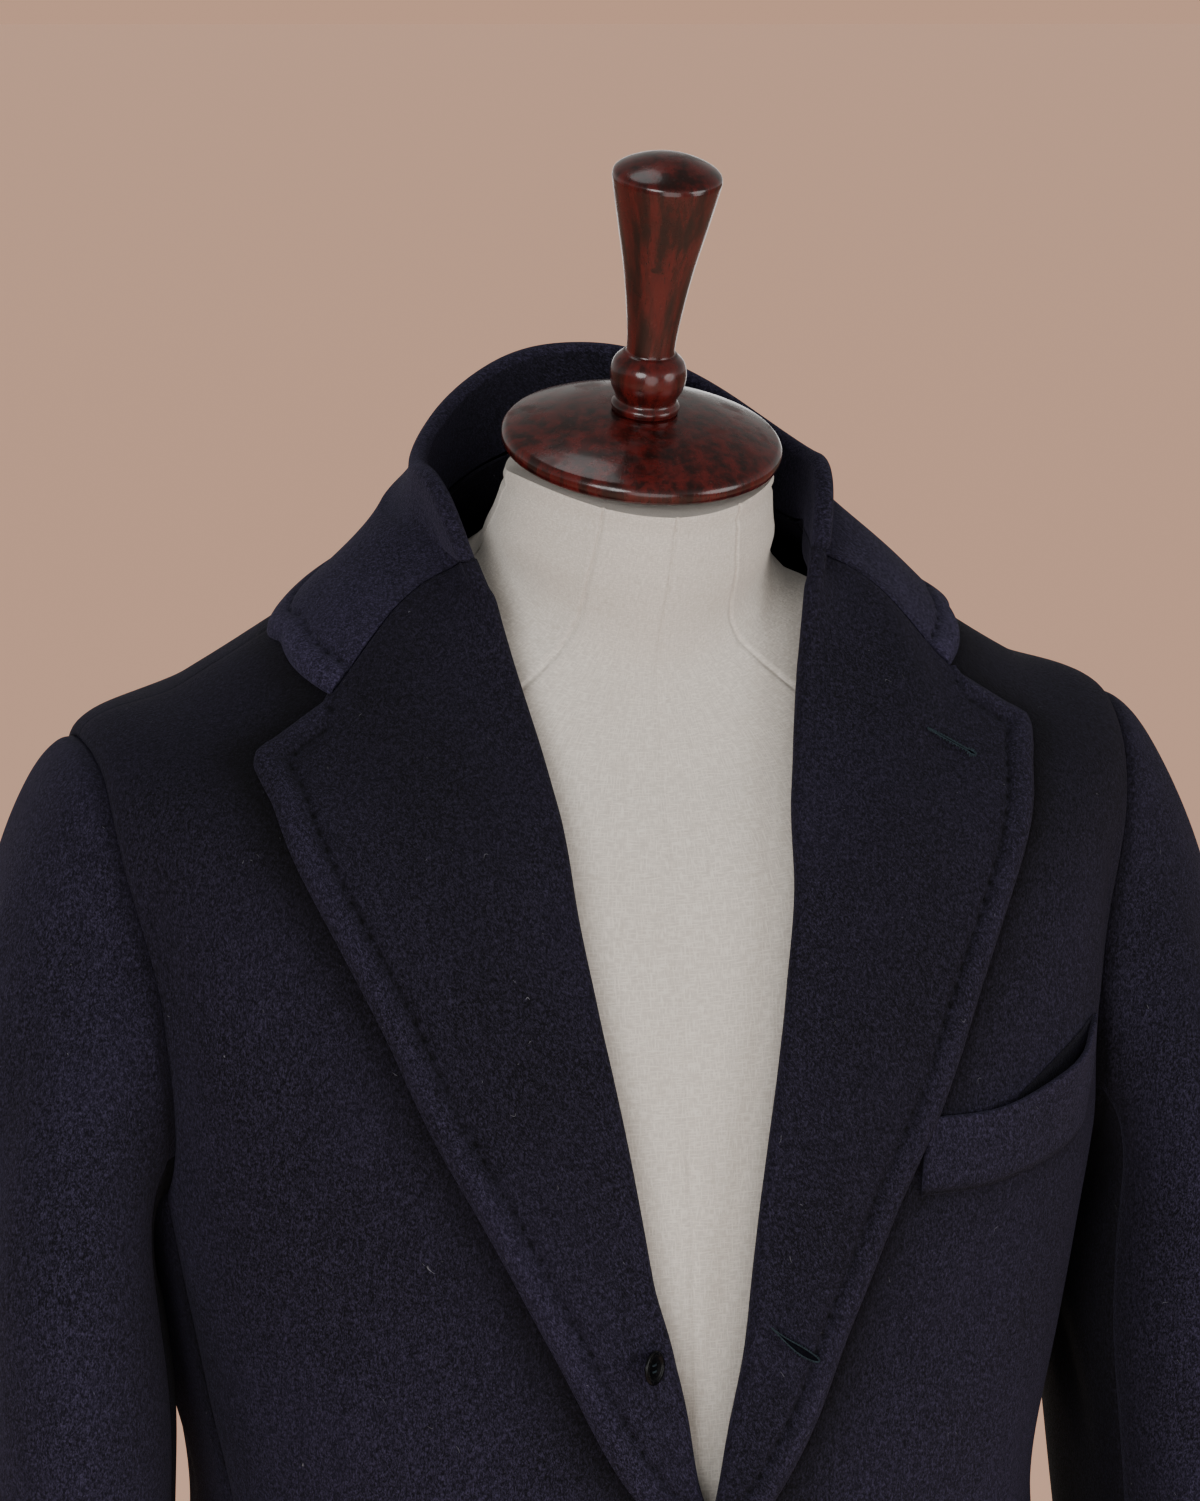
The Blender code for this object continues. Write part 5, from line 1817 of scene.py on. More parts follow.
@dataclass
class Collar:
    """The folded collar: a fall over a stand, in one piece round the neck."""

    pattern: Pattern
    drape: Drape
    finishes: Finishes
    half_rows: int = 200
    fall_columns: int = 46
    stand_columns: int = 12
    band_columns: int = 24
    corner_at: float = 0.25
    corner_reach: float = 0.007
    stand_width: float = 0.040
    front_extra: float = 0.03  # how much deeper the fall is near its fronts, about
    stand_share: float = 0.7

    def _edge(self, g: Array) -> Array:
        """Places of the collar's edge from the notch to the centre back, its corner rounded.

        Args:
            g: fractions of the way there.

        Returns:
            One (theta, level) pair for each fraction.
        """
        body, corner = self.pattern.body, self.corner_at

        def sharp(at: Array) -> Array:
            """The edge with its corner left sharp.

            Args:
                at: fractions of the way along it.

            Returns:
                One (theta, level) pair for each fraction.
            """
            front = body.at_fraction(Pattern.COLLAR_FRONT, at / corner)
            rest = body.at_fraction(Pattern.COLLAR_EDGE, (at - corner) / (1 - corner))
            return np.where((at < corner)[:, None], front, rest)

        offsets = np.linspace(-2, 2, 17)
        weights = np.exp(-offsets**2)
        reach = self.corner_reach * bell(g - corner, 0.030)
        total = sum(w * sharp(np.clip(g + o * reach, 0, 1)) for w, o in zip(weights, offsets))
        return total / weights.sum()

    def _half(self) -> tuple[Array, Array, Array]:
        """Loops of the section from the gorge to the centre back, the fall's middle, and the painted light
        and shade.
        """
        body = self.pattern.body
        g = np.linspace(0, 1, self.half_rows)
        fold, edge = body.at_fraction(Pattern.FOLD, g), self._edge(g)
        length = lengths_along(body.at(body.even(Pattern.GORGE, 300)))[-1]
        v = near_edge(self.fall_columns, length, self.band_columns)
        gorge = body.at_fraction(Pattern.GORGE, v)
        places = fold[:, None] * (1 - v)[None, :, None] + edge[:, None] * v[None, :, None]
        places = places + ((1 - g) ** 4)[:, None, None] * (gorge - places[0])[None]
        theta, level = places[..., 0], places[..., 1]
        base, normal = body.at(places), body.normal_at(places)
        edges = EdgeDistances.of(base)
        hollow = 0.0085 * smoothstep(g, 0.08, 0.40)[:, None] * np.sin(np.pi * v**0.8)[None] ** 2
        drape = self.drape.height(theta, level, Side.LEFT)
        under = WALL + LAPEL_CLEAR + 0.0004 * (1 - v)[None] + collar_bulge(v)[None] + hollow + drape
        stitched, tone = swelled_edge(edges.from_end, lengths_along(base[:, -1])[:, None])
        corner = (1 - smoothstep(g, 0.12, 0.42))[:, None] * smoothstep(v, 0.25, 0.7)[None]
        # Painted light on the fall's front corner, and a little painted shade all over.
        tone = tone + 0.34 * corner - 0.06
        # Painted shade along the gorge seam.
        tone = tone - 0.40 * bell(edges.from_first, 0.0020) * (1 - smoothstep(v, 0.35, 0.75))[None]
        gorge_seam = -0.0008 * bell(edges.from_first, 0.0022)
        wave = slow_waves(base * 1.2, 33, 0.0008) * smoothstep(edges.from_last, 0, 0.03)
        over = under + COLLAR_WALL + stitched + gorge_seam + wave
        seam = body.even(Pattern.NECK_SEAM, 120)
        loops = []
        for row in range(self.half_rows):
            top = base[row] + normal[row] * over[row][:, None]
            bottom = base[row] + normal[row] * under[row][:, None]
            at, high = theta[row, 0], level[row, 0]
            low = min(np.interp(at, seam[:, 0], seam[:, 1]) + 0.045, high - 0.12)
            stand_at = np.linspace(high, low, self.stand_columns)
            inside = body.point(at, stand_at)
            out = body.normal(at, stand_at)
            outside = inside + out * STAND_WALL
            up = unit(body.point(at, high + 0.01) - body.point(at, high - 0.01))
            middle, reach = (top[0] + inside[0]) / 2, (top[0] - inside[0]) / 2
            radius, across = np.linalg.norm(reach), unit(reach)
            crown = [middle + radius * (up * math.sin(a) + across * math.cos(a))
                     for a in np.radians(np.linspace(12, 168, ROLL_POINTS))]
            away = unit(base[row, -1] - base[row, -2])
            half, centre = (top[-1] - bottom[-1]) / 2, (top[-1] + bottom[-1]) / 2
            depth = np.linalg.norm(half)
            rim = [centre + half * math.cos(a) + away * depth * LOOP_RIM * math.sin(a)
                   for a in np.radians([144, 108, 72, 36])]
            pinch = [(outside[0] + bottom[0]) / 2 + up * 0.0006]
            loops.append(np.concatenate([top[::-1], crown, inside, outside[::-1], pinch, bottom, rim]))
        loops = np.array(loops)
        loops[0] += 5 * SEAM_GAP * unit(loops[1] - loops[0])
        others = loops.shape[1] - tone.shape[1]
        # Painted shade on the stand and the wrong side; the crown takes the fold's value, and the rim darkens
        # towards the underside.
        rest = np.full((self.half_rows, others), -0.6)
        rest[:, :ROLL_POINTS] = tone[:, :1]
        rest[:, -4:] = tone[:, -1:] - np.array([[0.6, 0.4, 0.1, 0.0]])
        return loops, base, np.concatenate([tone[:, ::-1], rest], axis=1)

    def build(self) -> None:
        half, base, tone = self._half()
        loops = np.concatenate([half, mirrored(half[-2::-1], Side.RIGHT)])
        size = loops.shape[1]
        fall, stand = self.fall_columns, self.stand_columns
        pairs = [(size - 3, size - 2), (size - 4, size - 1)]
        pairs += [(k, size - 5 - k) for k in range(fall)]
        inside = fall + ROLL_POINTS
        pinch = inside + 2 * stand
        pairs += [(fall + k, pinch) for k in range(ROLL_POINTS)]
        pairs += [(inside + k, pinch - 1 - k) for k in range(stand)]
        obj = shaded_object("cloth_collar", *swept_strip(loops, pairs), ROLLED_SHARP)
        set_painted_light(obj, np.concatenate([tone, tone[-2::-1]]))
        fit_piece(obj, self.finishes.collar, Slot.WOOL, "collar")


# ---------------------------------------------------------------------------------------------
# Sleeves
# ---------------------------------------------------------------------------------------------
@dataclass(frozen=True)
class SleeveRing:
    """Sizes of a level ring of the sleeve."""

    centre_x: float
    centre_y: float
    height: float
    half_x: float
    half_y: float


@dataclass
class Sleeves:
    """Two-piece sleeves set into the armholes, with a soft head and elbow creases."""

    pattern: Pattern
    drape: Drape
    finishes: Finishes
    rows: int = 176
    top_columns: int = 76
    under_columns: int = 38
    head_share: float = 0.46
    front_seam: int = 16
    back_seam: int = 28
    rings: tuple[SleeveRing, ...] = (
        SleeveRing(0.2520, -0.008, 1.200, 0.0420, 0.081),
        SleeveRing(0.2510, -0.024, 1.110, 0.0425, 0.075),
        SleeveRing(0.2550, -0.036, 1.020, 0.0410, 0.070),
        SleeveRing(0.2640, -0.050, 0.920, 0.0395, 0.065),
        SleeveRing(0.2740, -0.068, 0.800, 0.0370, 0.058),
    )
    creases: tuple[Crease, ...] = (                        # places are (half knots, height)
        Crease((3.0, 1.40), (0.0, 1.20), 0.0030, 0.016, 0.004),
        Crease((8.0, 1.37), (6.5, 1.12), -0.0034, 0.015, -0.005),
        Crease((11.0, 1.30), (10.0, 1.02), 0.0034, 0.015, 0.004),
        Crease((-4.0, 1.33), (-6.0, 1.08), -0.0030, 0.018, 0.006),
        Crease((13.5, 1.13), (4.0, 1.085), -0.0038, 0.011, 0.006),
        Crease((13.0, 1.10), (5.0, 1.050), 0.0030, 0.010, 0.005),
        Crease((14.0, 1.075), (7.0, 1.020), -0.0030, 0.010, -0.004),
        Crease((12.0, 1.00), (9.0, 0.86), 0.0022, 0.014, 0.004),
        Crease((-9.0, 1.12), (-3.0, 1.05), -0.0024, 0.013, 0.004),
        Crease((24.0, 1.22), (20.0, 1.10), -0.0030, 0.012, 0.003),
        Crease((-8.0, 1.00), (-6.0, 0.84), 0.0026, 0.016, 0.003),
    )
    metres_per_half_knot: float = 0.0105
    seam_allowance: float = 0.006
    square: float = 2.4
    foot_pull: float = 0.90
    crown_ease: float = 0.42
    end_pull: float = 0.85
    hug: float = 0.0052
    hug_height: float = 1.166
    right_creases_lower: float = 0.012
    wave: float = 0.0010

    def ring_at(self, at: Array, turn: Array) -> Array:
        """Points of the lower sleeve at ring numbers, all round.

        Args:
            at: ring numbers, counted from the highest.
            turn: angles round the sleeve, in radians.

        Returns:
            Grid of points, with a row for each ring number.
        """
        row = spline(np.array([astuple(ring) for ring in self.rings]), at)[:, None, :]
        s, c = np.sin(turn), np.cos(turn)
        reach = (np.abs(s) ** self.square + np.abs(c) ** self.square) ** (-1 / self.square)
        x = row[..., 0] + row[..., 3] * c * reach
        y = row[..., 1] - row[..., 4] * s * reach
        return np.stack([x, y, np.broadcast_to(row[..., 2], x.shape)], -1)

    def _surface(self, side: Side, half_knot: Array) -> Array:
        """Middle surface of a sleeve on the wearer's left half.

        Args:
            side: the wearer's side, for the drape that the armhole has.
            half_knot: places round the armhole.

        Returns:
            Grid of points, rows from the armhole to the cuff.
        """
        body = self.pattern.body
        armhole = self.pattern.armhole
        centre = body.at(armhole(np.arange(self.pattern.half_knots))).mean(axis=0)
        place = armhole(half_knot)
        hole, normal = body.at(place), body.normal_at(place)
        tangent = unit(body.at(armhole(half_knot + 1.0)) - body.at(armhole(half_knot - 1.0)))
        away = unit(np.cross(tangent, normal))
        away = away * np.sign(((centre - hole) * away).sum(axis=-1))[:, None]
        crown = smoothstep(place[:, 1], 6.25, 7.7)[:, None]
        drape = self.drape.height(place[:, 0], place[:, 1], side)[:, None]
        start = (hole + normal * (crown * WALL / 2 + (1 - crown) * 0.0046 + drape)
                 + away * (0.0014 * crown - 0.0008 * (1 - crown)))
        leave = unit(crown * (np.array([1.0, 0.0, -0.10]) + 0.25 * away)
                     + (1 - crown) * (normal * 0.8 + np.array([0.0, 0.0, -0.6])))
        turn = np.arctan2(-(hole[:, 1] - centre[1]), hole[:, 2] - centre[2])
        end = self.ring_at(np.array([0.0]), turn)[0]
        reach = np.linalg.norm(end - start, axis=1, keepdims=True)
        down = unit(self.ring_at(np.array([0.05]), turn)[0] - end)
        start_pull = self.foot_pull - self.crown_ease * crown
        head_rows = int(self.rows * self.head_share)
        s = np.linspace(0, 1, head_rows, endpoint=False)[:, None, None] ** 1.15
        head = hermite(s, start, leave * reach * start_pull, end, down * reach * self.end_pull)
        arm = self.ring_at(np.linspace(0, len(self.rings) - 1, self.rows - head_rows), turn)
        tucked = hole + normal * (drape - 0.80 * WALL) - away * self.seam_allowance
        bend = hole + normal * (drape - 0.35 * WALL) + away * 0.0010
        grid = np.concatenate([tucked[None], bend[None], head, arm])
        inner = np.clip(-np.cos(turn), 0, 1) ** 2
        grid[..., 0] -= self.hug * inner * bell(grid[..., 2] - self.hug_height, 0.042)
        return grid

    def _piece(self, word: str, knots: Array, turns: int, side: Side, wool: bpy.types.Material) -> None:
        """Builds one piece of a sleeve.

        Args:
            word: which piece it is.
            knots: its columns, as places round the armhole in half knots.
            turns: half knots from its columns back to where the creases count from.
            side: the wearer's side.
            wool: its material.
        """
        grid = self._surface(side, knots)
        crosswise = self._surface(side, knots + 0.2) - self._surface(side, knots - 0.2)
        normal = unit(np.cross(crosswise, np.gradient(grid, axis=0)))
        edges = EdgeDistances.of(grid)
        around = np.broadcast_to(knots[None], grid.shape[:2])
        height = grid[..., 2] + (self.right_creases_lower if side is Side.RIGHT else 0.0)
        relief = crease_height(around, height, self.creases, self.metres_per_half_knot, 1.0)
        if turns:
            relief = relief + crease_height(around - turns, height, self.creases,
                                            self.metres_per_half_knot, 1.0)
        past_seam = np.clip(edges.from_first - edges.from_first[2:3], 0, None)
        free = smoothstep(past_seam, 0.0, 0.035)
        folds = (relief + slow_waves(mirrored(grid, side), 51, self.wave)) * free
        seams = -0.0005 * (bell(edges.from_start, 0.003) + bell(edges.from_end, 0.003))
        seams = seams - 0.0010 * bell(past_seam, 0.0028)
        grid[:, 0] += unit(grid[:, 1] - grid[:, 0]) * SEAM_GAP
        grid[:, -1] += unit(grid[:, -2] - grid[:, -1]) * SEAM_GAP
        middle = grid + normal * (folds + seams)[..., None]
        # Painted light on the creases' ridges and painted shade in their troughs, and painted shade along the
        # armhole seam and the side seams.
        tone = 0.05 + folds * 45 - 0.45 * bell(past_seam, 0.0045)
        tone = tone - 0.06 * (bell(edges.from_start, 0.002) + bell(edges.from_end, 0.002))
        # Painted shade on the inner side, which faces the body.
        inward = smoothstep(around, 12.0, 16.5) * (1 - smoothstep(around, 26.0, 31.0))
        front_top = bell((around - 10.0) / 5.0, 1.0) * smoothstep(height, 1.22, 1.30)
        # Painted shade on the left sleeve's front top, and a little all over the right sleeve.
        shade = 0.28 * front_top if side is Side.LEFT else 0.06
        piece = ClothPiece(f"cloth_sleeve_{word}_{side.word}", middle + normal * WALL / 2,
                           middle - normal * WALL / 2, tone - 0.85 * inward - shade, side)
        piece.sew(wool, [f"cloth_front_{side.word}", f"cloth_back_{side.word}"],
                  f"sleeve_{word}_{side.word}")

    def build(self) -> None:
        """Builds the four sleeve pieces."""
        whole = self.pattern.half_knots
        top = np.linspace(self.back_seam - whole, self.front_seam, self.top_columns)
        under = np.linspace(self.front_seam, self.back_seam, self.under_columns)
        for side in Side:
            self._piece("top", top, 0, side, self.finishes.sleeve)
            self._piece("under", under, whole, side, self.finishes.undersleeve)


# ---------------------------------------------------------------------------------------------
# Pocket, buttonholes and buttons
# ---------------------------------------------------------------------------------------------
@dataclass(frozen=True)
class WeltCorner:
    """One cross line of the welt: its theta and its levels at the seam and at the edge."""

    theta: float
    bottom: float
    top: float


@dataclass
class ChestWelt:
    """The curved breast-pocket welt on the left front, its outer end standing off a little."""

    pattern: Pattern
    drape: Drape
    finishes: Finishes
    wall: float = 0.0028
    gape: float = 0.0046
    mouth_start: float = 0.42
    mouth_end: float = 0.985
    mouth_height: float = 0.062
    mouth_depth: float = 0.09
    mouth_wall: float = 0.0005
    mouth_grid: tuple[int, int] = (7, 40)
    grid: tuple[int, int] = (26, 96)
    corners: tuple[WeltCorner, ...] = (
        WeltCorner(26.3, 6.06, 6.51), WeltCorner(34.2, 6.04, 6.48), WeltCorner(40.6, 6.07, 6.53),
        WeltCorner(47.4, 6.11, 6.66), WeltCorner(53.2, 6.18, 6.79),
    )

    def build(self) -> None:
        """Builds the welt and the strip behind it."""
        table = np.array([astuple(corner) for corner in self.corners])
        fine = spline(table, np.linspace(0, len(table) - 1, self.grid[1]))
        f = crowded(self.grid[0])[:, None]
        theta = np.broadcast_to(fine[:, 0], self.grid)
        level = fine[:, 1] * (1 - f) + fine[:, 2] * f
        t = np.linspace(0, 1, self.grid[1])[None]
        stand = self.gape * f**2 * (np.sin(np.pi * t) ** 2 * 0.55 + bell(t - 0.72, 0.16))
        lift = self.pattern.overlap_lift(theta, level, Side.LEFT) + WALL + PIECE_GAP + stand
        base = self.drape.lay(theta, level, lift, Side.LEFT)
        normal = self.pattern.body.normal(theta, level)
        edges = EdgeDistances.of(base)
        soft = 0.0007 * np.sin(np.pi * f) + 0 * t
        seam = -0.0016 * bell(edges.from_first, 0.0022) - 0.0008 * bell(edges.from_end, 0.0022)
        over = base + normal * (self.wall + soft + seam)[..., None]
        # Painted highlight along the welt's top edge, painted shade along its seam at the bottom, and painted
        # shade on its wrong side.
        tone = 0.12 + 0.22 * bell(edges.from_last, 0.0035) - 1.10 * bell(edges.from_first, 0.0030)
        welt = ClothPiece("cloth_chest_welt", over, base, tone, Side.LEFT, -0.9)
        welt.sew(self.finishes.welt, ["cloth_front_left"], "chest_welt")
        self._mouth(table)

    def _mouth(self, table: Array) -> None:
        """Builds the strip of pocketing that shows behind the welt's standing edge, darkened all over with
        painted shade.

        Args:
            table: theta and levels of the welt's cross lines.
        """
        u = np.linspace(0, 1, self.mouth_grid[1])
        share = self.mouth_start + (self.mouth_end - self.mouth_start) * u
        places = spline(table, share * (len(table) - 1))
        f = np.linspace(0, 1, self.mouth_grid[0])[:, None]
        high = self.mouth_height * np.sin(np.pi * u**0.9) ** 0.8 + 0.004
        theta = np.broadcast_to(places[:, 0], self.mouth_grid)
        level = places[:, 2] - self.mouth_depth + f * (self.mouth_depth + high)
        base = self.drape.lay(theta, level, np.full(self.mouth_grid, WALL + 0.00025), Side.LEFT)
        over = base + self.pattern.body.normal(theta, level) * self.mouth_wall
        # Painted shade: the strip gets the darkest value on both sides.
        dark = np.full(self.mouth_grid, -1.0)
        mouth = ClothPiece("cloth_pocket_mouth", over, base, dark, Side.LEFT, -1.0)
        mouth.sew(self.finishes.welt, ["cloth_front_left"])


@dataclass
class Buttonhole:
    """A hand-worked buttonhole: purled silk round a slit, with an eyelet at one end or none."""

    name: str
    start: tuple[float, float]
    end: tuple[float, float]
    lift: float
    eyelet: float
    gap: float
    stitches: int = 46
    taper: float = 0.0
    sag: float = 0.0
    thread: float = 0.00030
    reach: float = 0.0008
    unevenness: float = 0.00012
    slit_points: int = 64
    slit_foot: float = -0.0004

    def _outline(self, count: int, grow: float, length: float) -> Array:
        """Closed outline in the slit's own plane, x along it, in metres.

        Args:
            count: how many points.
            grow: how far outside the slit it runs.
            length: the slit's length.

        Returns:
            The points.
        """
        angle = np.linspace(0, 2 * np.pi, count, endpoint=False)
        x = np.cos(angle) * (length / 2 + grow)
        y = np.sin(angle) * (self.gap / 2 + grow)
        head = smoothstep(x, length / 2 - 0.0045, length / 2 - 0.0015)
        narrow = 1 - self.taper * (1 - smoothstep(x, -length / 2, length / 3))
        curve = -self.sag * (1 - (2 * x / length) ** 2)
        return np.stack([x, y * (1 + head * self.eyelet) * narrow + curve], -1)

    def build(self, pattern: Pattern, drape: Drape, finishes: Finishes, cover: float) -> None:
        """Builds the thread, and the slit as a dark sheet of painted shade.

        Args:
            pattern: the coat's pattern.
            drape: the coat's drape.
            finishes: the materials.
            cover: height of the cloth's right side over the draped surface.
        """
        places = np.array([self.start, self.end])
        a, b = drape.lay(places[:, 0], places[:, 1], np.full(2, cover), Side.LEFT)
        normal = unit(pattern.body.normal_at(places).sum(axis=0))
        along = unit(b - a)
        across = unit(np.cross(normal, along))
        length = float(np.linalg.norm(b - a))
        centre = (a + b) / 2 + normal * self.lift

        def placed(flat: Array, height: Array | float) -> Array:
            """Points of the slit's plane put on the cloth."""
            height = np.broadcast_to(height, flat.shape[:-1])
            return centre + flat[..., :1] * along + flat[..., 1:] * across + height[..., None] * normal

        inner = self._outline(self.stitches, 0.0, length)
        outer = self._outline(self.stitches, self.reach, length)
        rng = np.random.default_rng(5)
        t = np.linspace(0, 1, 5)[:, None]
        paths = []
        for p, q in zip(inner, outer):
            line = p * (1 - t) + (q + rng.normal(0, self.unevenness, 2)) * t
            paths.append(placed(line, 0.00045 * np.sin(np.pi * (0.15 + 0.85 * t[:, 0]))))
        ring = placed(self._outline(120, 0.00010, length), 0.0004)
        paths.append(np.concatenate([ring, ring[:2]]))
        fit_piece(threads(f"{self.name}_silk", paths, self.thread), finishes.silk, Slot.WOOL)
        # The slit is a dark sheet of painted shade.
        count = self.slit_points
        rim, middle = self._outline(count, -0.00005, length), np.zeros((1, 2))
        points = np.concatenate([placed(rim, 0.00022), placed(rim, self.slit_foot),
                                 placed(middle, 0.0001), placed(middle, self.slit_foot)])
        turn = np.roll(np.arange(count), -1)
        faces = [(k, turn[k], 2 * count) for k in range(count)]
        faces += [(turn[k] + count, k + count, 2 * count + 1) for k in range(count)]
        faces += [(turn[k], k, k + count, turn[k] + count) for k in range(count)]
        slit = shaded_object(f"{self.name}_slit", points, faces, THREAD_SHARP)
        fit_piece(slit, finishes.shadow, Slot.WOOL)


@dataclass
class Button:
    """A turned horn button with four holes and its thread."""

    name: str
    node: str
    theta: float
    level: float
    lift: float
    radius: float
    side: Side
    lean: float = 0.0
    hole: float = 0.10
    hole_ring: float = 0.27
    drill_foot: float = -0.004
    drill_top: float = 0.006
    outline: tuple[Turn, ...] = (
        Turn(0.0, 0.0), Turn(0.0, 0.62), Turn(0.06, 0.86), Turn(0.14, 0.985), Turn(0.20, 1.0),
        Turn(0.26, 0.97), Turn(0.29, 0.88), Turn(0.27, 0.76), Turn(0.20, 0.66), Turn(0.18, 0.30),
        Turn(0.18, 0.0),
    )

    def _drill(self, disc: bpy.types.Object, holes: Sequence[Array], axis: Array) -> None:
        """Drills the holes through the disc.

        Args:
            disc: the button's disc.
            holes: centres of the holes.
            axis: the button's axis.
        """
        bore = self.hole * self.radius
        outline = [Turn(self.drill_foot, 0.0), Turn(self.drill_foot, bore), Turn(0.0, bore),
                   Turn(self.drill_top, bore), Turn(self.drill_top, 0.0)]
        drills = [turned(f"{self.name}_drill", outline, hole, axis, 20, 1) for hole in holes]
        for drill in drills:
            cut = disc.modifiers.new("hole", "BOOLEAN")
            cut.operation, cut.solver, cut.object = "DIFFERENCE", "EXACT", drill
        graph = bpy.context.evaluated_depsgraph_get()
        mesh = bpy.data.meshes.new_from_object(disc.evaluated_get(graph))
        disc.modifiers.clear()
        disc.data = mesh
        mesh.shade_smooth()
        mesh.set_sharp_from_angle(angle=math.radians(TURNED_SHARP))
        for drill in drills:
            bpy.data.objects.remove(drill, do_unlink=True)

    def build(self, pattern: Pattern, drape: Drape, finishes: Finishes) -> None:
        """Builds the disc and its thread.

        Args:
            pattern: the coat's pattern.
            drape: the coat's drape.
            finishes: the materials.
        """
        place = np.array([self.theta]), np.array([self.level])
        normal = pattern.body.normal(*place)[0]
        level_side = unit(np.cross(normal, (0.0, 0.0, 1.0)))
        axis = unit(normal * math.cos(self.lean) + level_side * math.sin(self.lean))
        origin = drape.lay(*place, np.array([self.lift]), self.side)[0]
        origin, axis = mirrored(origin, self.side), mirrored(axis, self.side)
        scaled = [Turn(t.along * self.radius, t.radius * self.radius) for t in self.outline]
        disc = turned(self.name, scaled, origin, axis, 72, 5)
        flat = unit(np.cross(axis, (0.0, 0.0, 1.0)))
        upright = np.cross(axis, flat)
        holes = [origin + (flat * math.cos(a) + upright * math.sin(a)) * self.radius * self.hole_ring
                 for a in np.radians([45, 135, 225, 315])]
        self._drill(disc, holes, axis)
        fit_piece(disc, finishes.horn, Slot.BUTTON, self.node)
        t = np.linspace(0, 1, 9)[:, None]
        arch = (np.sin(np.pi * t) * 0.03 + 0.19) * self.radius
        sink = axis * 0.10 * self.radius
        paths = []
        for shift in (0, 1, -1):
            for first, second in ((0, 1), (3, 2)):
                line = holes[first] * (1 - t) + holes[second] * t + axis * arch
                line = line + upright * shift * 0.035 * self.radius
                paths.append(np.concatenate([line[:1] - sink, line, line[-1:] - sink]))
        strands = threads(f"{self.name}_thread", paths, 0.028 * self.radius)
        fit_piece(strands, finishes.silk, Slot.BUTTON)


# ---------------------------------------------------------------------------------------------
# Dress form and stand
# ---------------------------------------------------------------------------------------------
@dataclass
class DressForm:
    """The canvas body under the coat, with its seams, and its neck."""

    pattern: Pattern
    finishes: Finishes
    bottom: float = 0.800
    girth_radius: float = 0.19
    seam_depth: float = 0.0011
    seam_lines: tuple[float, ...] = (0.0, 31.0, -31.0, 92.0, -92.0, 146.0, -146.0, 180.0)
    neck: tuple[BodyLevel, ...] = (
        BodyLevel(0.074, -0.004, -0.064, 0.052, 1.500, 1.468, 1.526, 2.0),
        BodyLevel(0.0615, -0.024, -0.080, 0.032, 1.523, 1.503, 1.543, 2.0),
        BodyLevel(0.056, -0.037, -0.0911, 0.0171, 1.547, 1.5325, 1.5615, 2.0),
    )

    def _angles(self) -> Array:
        """Angles round the body, crowded at the seams."""
        close = np.array([0.0, 0.22, 0.5, 0.9, 1.5, 2.4])
        near = [line + sign * step for line in self.seam_lines for step in close for sign in (-1, 1)]
        table = np.unique(np.round(np.concatenate([np.arange(-180, 180, 3.0), near]), 3))
        table = table[(table >= -180) & (table < 180)]
        keep = np.concatenate([[True], np.diff(table) > 0.15])
        return table[keep]

    def build(self) -> None:
        """Builds the body and neck in one piece."""
        body = self.pattern.body
        theta = self._angles()
        low = float(np.interp(self.bottom, body.table[:, 4], np.arange(len(body.table))))
        levels = np.concatenate([[low], np.arange(2.0, 9.6, 0.5)])
        rings = [body.point(theta, level) - body.normal(theta, level) * FORM_INSET for level in levels]
        neck = [body.ring(np.array([astuple(ring)] * len(theta)), np.radians(theta))
                for ring in self.neck]
        control = np.array(rings + neck)
        rows = np.linspace(0, len(control) - 1, 150)
        grid = spline(control, rows)
        grid[0][:, 2] = self.bottom
        crosswise = np.roll(grid, -1, axis=1) - np.roll(grid, 1, axis=1)
        normal = unit(np.cross(crosswise, np.gradient(grid, axis=0)))
        arc = np.linalg.norm(grid[..., :2], axis=-1)
        groove = np.zeros(grid.shape[:2])
        for line in self.seam_lines:
            across = np.radians((theta[None] - line + 180) % 360 - 180) * arc
            groove = groove - self.seam_depth * bell(across, 0.0011) + 0.0005 * bell(across, 0.0040)
        up = lengths_along(grid[:, len(theta) // 2])
        ring_seam = up[np.searchsorted(rows, len(rings) - 1 + 0.9)]
        groove = groove - self.seam_depth * bell(up - ring_seam, 0.0022)[:, None]
        rim = up[-1] - 0.0075
        groove = groove - 0.0009 * bell(up - rim, 0.0018)[:, None]
        groove = groove + 0.0006 * smoothstep(up, rim, rim + 0.003)[:, None]
        grid = grid + normal * groove[..., None]
        under = grid[0] * np.array([0.93, 0.93, 1.0]) - np.array([0.0, 0.0, 0.006])
        stack = np.concatenate([under[None], grid])
        tips = [under.mean(axis=0), grid[-1].mean(axis=0)]
        points = np.concatenate([stack.reshape(-1, 3), tips])
        obj = shaded_object("form_body", points, tube_faces(*stack.shape[:2]), ROLLED_SHARP)
        around = np.broadcast_to(np.radians(theta) * self.girth_radius, stack.shape[:2])
        upwards = np.broadcast_to(np.concatenate([[-0.006], up])[:, None], stack.shape[:2])
        cloth = np.stack([around, upwards, np.zeros(stack.shape[:2])], -1).reshape(-1, 3)
        cloth = np.concatenate([cloth, np.zeros((2, 3))])
        attribute = obj.data.attributes.new("cloth_place", "FLOAT_VECTOR", "POINT")
        attribute.data.foreach_set("vector", cloth.ravel())
        fit_piece(obj, self.finishes.canvas, Slot.CANVAS, "form_torso")


